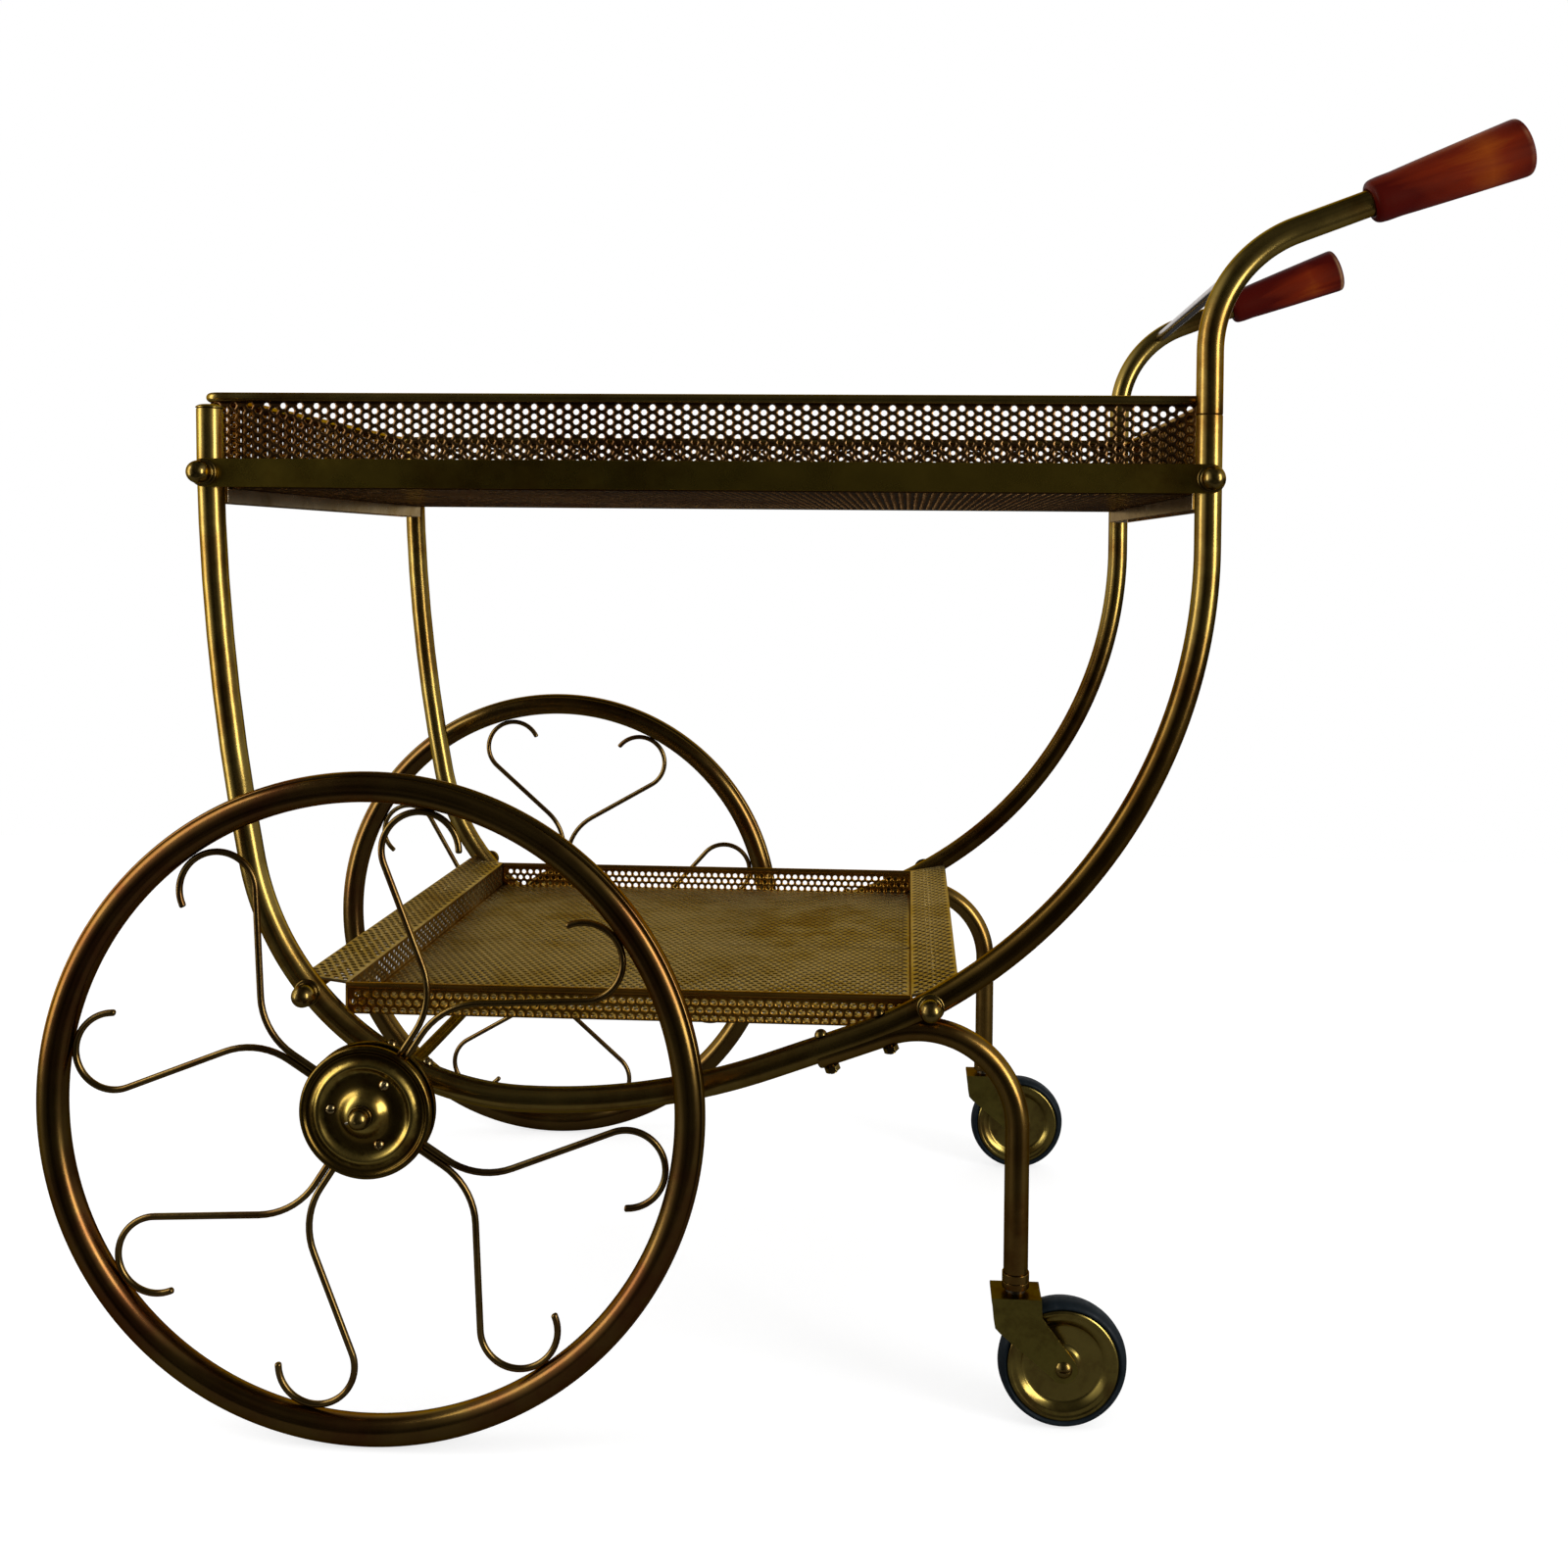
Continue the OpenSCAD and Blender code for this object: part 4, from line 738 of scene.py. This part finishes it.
def lower_tray():
    """Punched floor, walls, sloping flanges and the lips that hook over the rods, all flat panels."""
    low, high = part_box("lower_tray")
    half = SHEET_T / 2
    depth = high.y - low.y
    wall_left, wall_right = low.x + FLANGE_W, high.x - FLANGE_W
    right_rise = FLANGE_W * RIGHT_SLOPE
    fold_z = high.z - right_rise
    floor_z = fold_z - LOW_H + half
    left_slope = (ROD_Z - fold_z + TIP_RISE) / (wall_left - ROD_LEFT_X)
    length = wall_right - wall_left - 2 * half

    def panel(name, origin, along, across, width, height, margin, upright=False, **others):
        flat_panel("lower_tray_" + name, origin, along, across, width, height, LOWER_PITCH, margin,
                   "lower_tray", upright, ["lower_tray"], **others)

    x, y = wall_left + half, low.y + half
    inner_y = depth - 2 * half
    edge = (HOLE_EDGE,) * 4
    for k in range(2):
        panel(f"floor_{k}", (x, y, floor_z), (1, 0, 0), (0, 1, 0), length, inner_y, edge, part=k, parts=2)
    side = (HOLE_EDGE, HOLE_EDGE, 0, PLAIN_LIP)
    wall = LOW_H - half
    panel("wall_near", (x, y, floor_z), (1, 0, 0), (0, 0, 1), length, wall, side, finish=SHADED_WALL)
    panel("wall_far", (x + length, y + inner_y, floor_z), (-1, 0, 0), (0, 0, 1), length, wall, side,
          finish=SHADED_WALL)
    panel("wall_left", (x, y + inner_y, floor_z), (0, -1, 0), (0, 0, 1), inner_y, wall, edge, upright=True)
    panel("wall_right", (x + length, y, floor_z), (0, 1, 0), (0, 0, 1), inner_y, wall, edge, upright=True)
    half_roll = length / 2 - 1 * MM
    flat_end = half_roll - half * 0.6
    roll = [(0, -half_roll), (ROLL_R * 0.8, -half_roll), (ROLL_R, -flat_end), (ROLL_R, flat_end),
            (ROLL_R * 0.8, half_roll), (0, half_roll)]
    rolls = [turned(roll, (x + length / 2, s * (high.y - half), fold_z - ROLL_R), (1, 0, 0), sides=32)
             for s in SIDES.values()]
    solid_piece("lower_tray_rolled_edges", "lower_tray", SHADED_WALL, rolls, ["lower_tray"])
    for name, fold_x, way, slope in (("left", x, -1, left_slope), ("right", x + length, 1, RIGHT_SLOPE)):
        reach = FLANGE_W - half
        run = np.array([way, 0, slope]) / math.hypot(1, slope)
        size = reach * math.hypot(1, slope)
        start = np.array([fold_x, low.y, fold_z - half])
        tip = start + run * size
        panel(f"flange_{name}", start, run, (0, 1, 0), size, depth, edge)
        panel(f"lip_{name}", tip, (0, 1, 0), (0, 0, -1), depth, FLANGE_LIP - half, edge, upright=True)


upper_tray()
lower_tray()


# Big wheels

RIM_R = 9 * MM
GROOVE_DEPTH, GROOVE_W = 1.3 * MM, 0.75 * MM
# Where the grooves lie on the rim's section, in degrees from the axle's direction
GROOVES_AT = 56, 124
SPOKE_R, SPOKE_TIP = 2 * MM, 1.2 * MM
# Distance of a spoke from its pair's axis, and of the hub discs from the spokes' plane
BESIDE_SPOKE = 2.05 * MM
# Direction of one pair of spokes at rest, in degrees
WHEEL_TURN = {"near": 147, "far": 84}


def rim_profile():
    """Section of the rolled rim: a circle with a narrow seam groove near its outer edge on each side."""
    t = np.linspace(0, 2 * np.pi, 96, endpoint=False)
    radius = np.full_like(t, RIM_R)
    for groove in GROOVES_AT:
        radius = radius - GROOVE_DEPTH * np.exp(-((t - math.radians(groove)) * RIM_R / GROOVE_W) ** 2)
    # angle zero lies along the axle and 90 degrees outwards
    return np.stack([AXLE_Z - RIM_R + radius * np.sin(t), radius * np.cos(t)], -1)


def spoke_paths():
    """Centre lines of the two spokes of a pair, with the pair's axis along +x: straight out of the hub, bent
    away from the axis, straight on along the line that touches both circles, and curled back at the rim."""
    start = 22.7 * MM
    bend_at, bend_r, curl_r = 55 * MM, 43 * MM, 23 * MM
    curl_turn, curl_angle = 204, math.radians(21.7)
    curl_reach = AXLE_Z - 2 * RIM_R - SPOKE_R - curl_r - 0.1 * MM
    gap = np.array([curl_reach * math.cos(curl_angle) - bend_at,
                    curl_reach * math.sin(curl_angle) - BESIDE_SPOKE - bend_r])
    distance = np.linalg.norm(gap)
    lean = math.asin((bend_r + curl_r) / distance)
    slope = math.degrees(math.atan2(gap[1], gap[0]) + lean)
    run = distance * math.cos(lean)
    steps = [(bend_at - start, 0), (bend_r, slope), (run, 0), (curl_r, -curl_turn)]
    path = bent_path((start, BESIDE_SPOKE), 0, steps, turn_step=5)
    return path, path * np.array([1, -1, -1])


def spokes_of(turn, y):
    """Four pairs of spokes, a quarter turn apart."""
    parts = []
    for k in range(4):
        a = math.radians(turn + 90 * k)
        for path in spoke_paths():
            x = AXLE_X + path[:, 0] * math.cos(a) - path[:, 1] * math.sin(a)
            z = AXLE_Z + path[:, 0] * math.sin(a) + path[:, 1] * math.cos(a)
            parts.append(round_bar(np.stack([x, z, path[:, 2] + a], -1), y, SPOKE_R, SPOKE_TIP, sides=20))
    return parts


# Pressed hub disc, as radius and height in mm: rolled edge, step, ring, dish and raised hub
HUB = [(39.5, 0.2), (39.5, 1.8), (38.6, 3.1), (37.4, 3.5), (36.3, 3.2), (35.3, 2.0), (33.7, 1.6),
       (31.6, 2.3), (30.0, 3.6), (28.8, 4.4), (27.4, 4.4), (25.8, 3.2), (23.8, 2.2), (19.0, 2.3),
       (15.6, 2.8), (13.4, 4.4), (11.0, 7.0), (8.8, 8.6), (7.2, 9.0)]
HUB_SHEET = 1.2 * MM


def hub_disc(side, outside):
    """A pressed disc. Its outer face is the profile lifted by the sheet, its inner face the profile itself,
    drawn in by half the sheet."""
    face = np.array(HUB) * MM
    skin = face + np.array([0, HUB_SHEET])
    profile = np.concatenate([soften(skin), soften(face[::-1] - np.array([HUB_SHEET / 2, 0]))])
    way = SIDES[side] * outside
    centre = (AXLE_X, SIDES[side] * WHEEL_Y + way * BESIDE_SPOKE, AXLE_Z)
    return turned(profile, centre, (0, way, 0), closed=True, sides=144)


def wheels():
    """Rolled rims, curled spokes and both hub discs of the two big wheels."""
    for side, s in SIDES.items():
        body = f"wheel_{side}"
        centre = (AXLE_X, s * WHEEL_Y, AXLE_Z)
        solid_piece(f"{body}_rolled_rim", body, RIM,
                    [turned(rim_profile(), centre, closed=True, sides=240)], [f"{body}_rim"], crease=60)
        solid_piece(f"{body}_curled_spokes", body, SPOKE,
                    spokes_of(WHEEL_TURN[side], s * WHEEL_Y), [f"{body}_spokes"])
        for name, outside in (("outer", 1), ("inner", -1)):
            solid_piece(f"{body}_hub_{name}", body, PRESSED, [hub_disc(side, outside)],
                        [f"{body}_{name}_disc"])


wheels()

# Casters

TYRE_DEPTH = 5.4 * MM
TYRE_SIDE = 1.4 * MM
TYRE_SEAM = 0.18 * MM


def caster_tyre_profile(outer, inner, width):
    """Half-round tread with a fine moulding seam round its middle, and a bead between the discs."""
    a = np.radians(np.linspace(-88, 88, 41))
    rise = outer - inner - TYRE_SIDE
    seam = TYRE_SEAM * np.exp(-(a / 0.05) ** 2)
    tread = np.stack([inner + TYRE_SIDE + rise * np.cos(a) + seam - TYRE_SEAM, width / 2 * np.sin(a)], -1)
    bead = [(inner, width / 2 - 1.5 * MM), (inner - 3 * MM, 2 * MM), (inner - 3 * MM, -2 * MM),
            (inner, 1.5 * MM - width / 2)]
    return np.concatenate([tread, bead])


def caster_disc_profile(edge):
    """Pressed disc of a caster wheel, as radius and height in mm: rolled edge, step ring, dish and hub, with
    an outer face a millimetre further out."""
    face = np.array([(edge - 0.2, 6.3), (edge - 1.0, 7.0), (edge - 2.2, 7.0), (edge - 3.4, 6.4),
                     (edge - 5.4, 6.2), (edge - 6.6, 5.6), (edge - 8.4, 4.4), (edge - 10, 3.0),
                     (edge - 13, 2.7), (12, 2.8), (10.4, 3.6), (9, 4.4), (5.4, 4.8)]) * MM
    skin = face + np.array([0, 1 * MM])
    return np.concatenate([soften(skin), soften(face[::-1])])


def casters():
    """Tyre and discs of each caster wheel, and its fork and bolt with eased edges."""
    low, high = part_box("caster_far_tyre")
    outer = (high.z - low.z) / 2
    width = high.y - low.y
    for side, s in SIDES.items():
        centre = np.array([CASTER_AXLE[0], s * FRAME_Y, CASTER_AXLE[2]])
        wheel, swivel = f"caster_wheel_{side}", f"swivel_{side}"
        tread = caster_tyre_profile(outer, outer - TYRE_DEPTH, width)
        solid_piece(f"caster_{side}_rubber_tyre", wheel, RUBBER,
                    [turned(tread, centre, closed=True, sides=120)], [f"caster_{side}_tyre"], crease=50)
        profile = caster_disc_profile((outer - TYRE_DEPTH) / MM)
        discs = [turned(profile, centre, (0, way, 0), closed=True, sides=120) for way in (-1, 1)]
        solid_piece(f"caster_{side}_pressed_discs", wheel, DISC, discs,
                    [f"caster_{side}_discs"])
        eased_copy(f"caster_{side}_fork", swivel, FORK, 0.5 * MM)
        eased_copy(f"caster_{side}_bolt", swivel, NUT, 0.3 * MM)


casters()

# Nuts, washers, the tray's rim, rods and small parts


def ball_nuts():
    """Ball nuts on stepped washers: a ball flattened where it meets the washer."""
    ball, sink = 7 * MM, 4.9 * MM
    a = np.radians(np.linspace(-math.degrees(math.asin(sink / ball)), 90, 25))
    ball_profile = np.concatenate([[(0, -sink)], np.stack([ball * np.cos(a), ball * np.sin(a)], -1)])
    thick = 2.2 * MM
    washer = soften([(0, 0), (8.5 * MM, 0), (8.5 * MM, 0.5 * MM), (8.1 * MM, 1.2 * MM), (6.5 * MM, 1.3 * MM),
                     (6.5 * MM, 1.9 * MM), (6.1 * MM, thick), (0, thick)])
    for name, xs, z, outside in (
            ("upper", (LEFT_X, RIGHT_X), BOLT_Z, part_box("upper_washers")[1].y),
            ("lower", (ROD_LEFT_X, ROD_RIGHT_X), ROD_Z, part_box("lower_washers")[1].y)):
        balls, washers = [], []
        for x in xs:
            for s in SIDES.values():
                balls.append(turned(ball_profile, (x, s * (outside + sink), z), (0, s, 0), sides=48))
                washers.append(turned(washer, (x, s * (outside - thick), z), (0, s, 0), sides=64))
        solid_piece(f"{name}_round_nuts", "root", NUT, balls, [f"{name}_ball_nuts"])
        solid_piece(f"{name}_stepped_washers", "root", NUT, washers, [f"{name}_washers"])


def tray_rim():
    """The wire ring on the upper tray's wall: a circle carried round a rectangle with round corners."""
    low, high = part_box("upper_tray_rim")
    r = (high.z - low.z) / 2
    half_x, half_y = (high.x - low.x) / 2 - r, (high.y - low.y) / 2 - r
    corner = UPPER_CORNER - SHEET_T / 2
    steps, sides = 1400, 24
    lengths = np.linspace(0, loop_length(half_x, half_y, corner), steps, endpoint=False)
    x, y, normal = rounded_loop(lengths, half_x, half_y, corner)
    centre = np.stack([(low.x + high.x) / 2 + x, y, np.full_like(x, (low.z + high.z) / 2)], -1)
    out = np.concatenate([normal, np.zeros((len(normal), 1))], 1)
    points = centre[:, None] + r * circles(sides, out, (0, 0, 1))
    solid_piece("upper_tray_wire", "upper_tray", TUBE,
                [(points, grid_faces(steps, sides, closed_rows=True))], ["upper_tray_rim"])


def cross_rods():
    """Straight round rods across the trolley, turned as one profile with small end roundings."""
    for name, node, finish, slot, sides in (
            ("handle_rod", "handle_crossbar", ROD, "plated_rod", 40),
            ("left_tray_rod", "lower_rod_left", TUBE, "dull_steel", 32),
            ("right_tray_rod", "lower_rod_right", TUBE, "dull_steel", 32)):
        low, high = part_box(node)
        r, half, ease = (high.z - low.z) / 2, high.y, 0.4 * MM
        profile = [(0, -half), (r - ease, -half), (r, ease - half), (r, half - ease), (r - ease, half),
                   (0, half)]
        x, _, z = middle(node)
        solid_piece(name, "root", finish, [turned(profile, (x, 0, z), sides=sides)], [node])


def eased_parts():
    """Flat and small parts keep their own shapes, with edges eased by the given width in mm."""
    for node, slot, finish, width in (
            ("side_band_near", "tube_brass", BAND, 0.35),
            ("side_band_far", "tube_brass", BAND, 0.35),
            ("end_channel_left", "tube_brass", CHANNEL, 0.35),
            ("end_channel_right", "tube_brass", CHANNEL, 0.35),
            ("axle_saddles", "tube_brass", TUBE, 0.5),
            ("axle_screws", "dull_steel", BRIGHT, 0.2),
            ("leg_bolts", "dull_steel", NUT, 0.2),
            ("leg_nuts", "dull_steel", NUT, 0.3),
            ("leg_ferrules", "tube_brass", LEG, 0.4),
            ("axle_caps", "bright_brass", NUT, 0.3),
            ("axle_washers", "bright_brass", NUT, 0.3)):
        eased_copy(node, "root", finish, width * MM)
    for side in SIDES:
        eased_copy(f"wheel_{side}_screws", f"wheel_{side}", BRIGHT, 0.2 * MM)


ball_nuts()
tray_rim()
cross_rods()
eased_parts()

# Nodes whose own shape shows as it is
CARRIED = {"upper_bolts": NUT, "handle_spigots": STEEL, "axle": NUT, "axle_spacers": NUT, "split_pins": STEEL}
for carried in ("wheel_{}_bush", "caster_{}_stem", "caster_{}_bush"):
    CARRIED.update((carried.format(side), STEEL) for side in SIDES)
for node_name, node_finish in CARRIED.items():
    node_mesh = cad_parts[node_name].data
    node_mesh.materials.clear()
    node_mesh.materials.append(node_finish)


# Floor, light and camera

FLOOR_SIDE, FLOOR_FRONT, FLOOR_BACK = 1.6, -0.5, 1.6
# The floor's own light for the camera, and its level for the camera and as the metal mirrors it
FLOOR_GLOW, FLOOR_LEVEL, FLOOR_MIRRORED = 0.72, 0.5, 0.16
# Levels of what the metal mirrors, and of the soft light all round
ROOM, BACKDROP, RIGHT_GLOW, LEFT_GLOW = 0.035, 0.85, 0.4, 0.7
SOFT_LIGHT = 0.62
# Place, target, width and height, and watts of the two windows
WINDOWS = (("right_window", (2.0, -1.35, 0.8), (0.1, 0, 0.4), (0.75, 1.7), 30),
           ("left_window", (-1.5, -0.6, 0.7), (-0.2, 0, 0.4), (0.55, 1.5), 9))


def floor():
    """A pale floor behind and around the trolley. The metal mirrors it greyer than the camera sees it."""
    mesh = build_mesh("floor", [(-FLOOR_SIDE, FLOOR_FRONT, 0), (FLOOR_SIDE, FLOOR_FRONT, 0),
                                (FLOOR_SIDE, FLOOR_BACK, 0), (-FLOOR_SIDE, FLOOR_BACK, 0)], [(0, 1, 2, 3)])
    obj = added("floor", mesh)
    f = Finish("pale_floor")
    f.set(Roughness=0.9, Specular_IOR_Level=0.1, Emission_Color=(1, 1, 1, 1))
    mesh.materials.append(f.material)
    path = f.node("ShaderNodeLightPath")
    f.join(f.product(path.outputs["Is Camera Ray"], FLOOR_GLOW), "Emission Strength")
    level = f.spread(path.outputs["Is Glossy Ray"], FLOOR_LEVEL, FLOOR_MIRRORED, 0.0, 1.0)
    f.join(f.grey(level), "Base Color")


def lamp(name, place_at, target, size, watts):
    """A rectangular light that faces its target and isn't seen by the camera."""
    data = bpy.data.lights.new(name, "AREA")
    data.shape = "RECTANGLE"
    data.size, data.size_y = size
    data.energy = watts
    obj = added(name, data)
    obj.location = place_at
    obj.visible_camera = False
    way = np.array(target, float) - np.array(place_at, float)
    flat = math.hypot(way[0], way[1])
    obj.rotation_euler = (math.atan2(flat, -way[2]), 0, math.atan2(way[1], way[0]) - math.pi / 2)


def studio():
    """Two windows, and a world that lights everything softly and that the metal alone mirrors: a pale
    backdrop behind the trolley, an uneven dim room in front of it, a glow at the right and one at the left."""
    world = bpy.data.worlds.new("studio")
    bpy.context.scene.world = world
    world.use_nodes = True
    tree = world.node_tree

    def spread(value, *levels):
        return add_node(tree, "ShaderNodeMapRange", enumerate((value, *levels))).outputs[0]

    def maths(operation, *values):
        return add_node(tree, "ShaderNodeMath", enumerate(values), operation=operation).outputs[0]

    ray = add_node(tree, "ShaderNodeTexCoord").outputs["Generated"]
    way = add_node(tree, "ShaderNodeSeparateXYZ", {0: ray}).outputs
    behind = spread(way["Y"], 0.3, 0.8, 0.0, BACKDROP)
    above = spread(way["Z"], -0.02, 0.08, 0.0, 1.0)
    things = add_node(tree, "ShaderNodeTexNoise", {"Vector": ray, "Scale": 2.2, "Detail": 3.0})
    uneven = spread(things.outputs["Fac"], 0.35, 0.65, ROOM * 0.3, ROOM * 1.9)
    right = spread(way["X"], 0.4, 0.75, 0.0, RIGHT_GLOW)
    left = spread(way["X"], -0.5, -0.85, 0.0, LEFT_GLOW)
    left_up = spread(way["Z"], -0.45, -0.05, 0.0, 1.0)
    dim = maths("MULTIPLY_ADD", left, left_up, uneven)
    risen = maths("MULTIPLY_ADD", right, above, dim)
    back = maths("MAXIMUM", maths("MULTIPLY", behind, above), risen)
    path = add_node(tree, "ShaderNodeLightPath").outputs
    mirrored = maths("MULTIPLY", path["Is Glossy Ray"], back)
    soft = maths("MULTIPLY", path["Is Diffuse Ray"], SOFT_LIGHT)
    seen = maths("MAXIMUM", path["Is Camera Ray"], mirrored)
    background = tree.nodes["Background"]
    tree.links.new(maths("MAXIMUM", seen, soft), background.inputs["Strength"])
    background.inputs["Color"].default_value = (1, 1, 1, 1)
    for window in WINDOWS:
        lamp(*window)


# The camera as solved from the photo: place, turns in degrees, focal length and principal point in pixels
CAMERA_AT = np.array([432.8 * MM + LEFT_X, -1143 * MM, 530.2 * MM])
CAMERA_PITCH, CAMERA_YAW, CAMERA_ROLL = 1.335, 3.033, 0.583
FOCAL_PX = 1585.6
CENTRE_PX = (842.3, 600.7)
IMAGE_PX = 1600


def camera():
    """A pinhole camera. Its right, down and forward directions come from a pitch, then a yaw, then a roll
    of a camera that looks along +Y."""
    p, y, r = (math.radians(v) for v in (CAMERA_PITCH, CAMERA_YAW, CAMERA_ROLL))
    about_x = np.array([[1, 0, 0], [0, math.cos(p), -math.sin(p)], [0, math.sin(p), math.cos(p)]])
    about_y = np.array([[math.cos(y), 0, math.sin(y)], [0, 1, 0], [-math.sin(y), 0, math.cos(y)]])
    about_z = np.array([[math.cos(r), -math.sin(r), 0], [math.sin(r), math.cos(r), 0], [0, 0, 1]])
    rows = about_z @ about_y @ about_x @ np.array([[1, 0, 0], [0, 0, -1], [0, 1, 0]])
    data = bpy.data.cameras.new("camera")
    obj = added("camera", data)
    turn = np.eye(4)
    turn[:3, :3] = np.stack([rows[0], -rows[1], -rows[2]], 1)
    turn[:3, 3] = CAMERA_AT
    obj.matrix_world = Matrix(turn.tolist())
    data.sensor_width = 36
    data.lens = data.sensor_width * FOCAL_PX / IMAGE_PX
    data.shift_x = 0.5 - CENTRE_PX[0] / IMAGE_PX
    data.shift_y = CENTRE_PX[1] / IMAGE_PX - 0.5
    data.clip_start, data.clip_end = 0.05, 40
    bpy.context.scene.camera = obj


floor()
studio()
camera()
bpy.context.scene.view_settings.view_transform = "Standard"
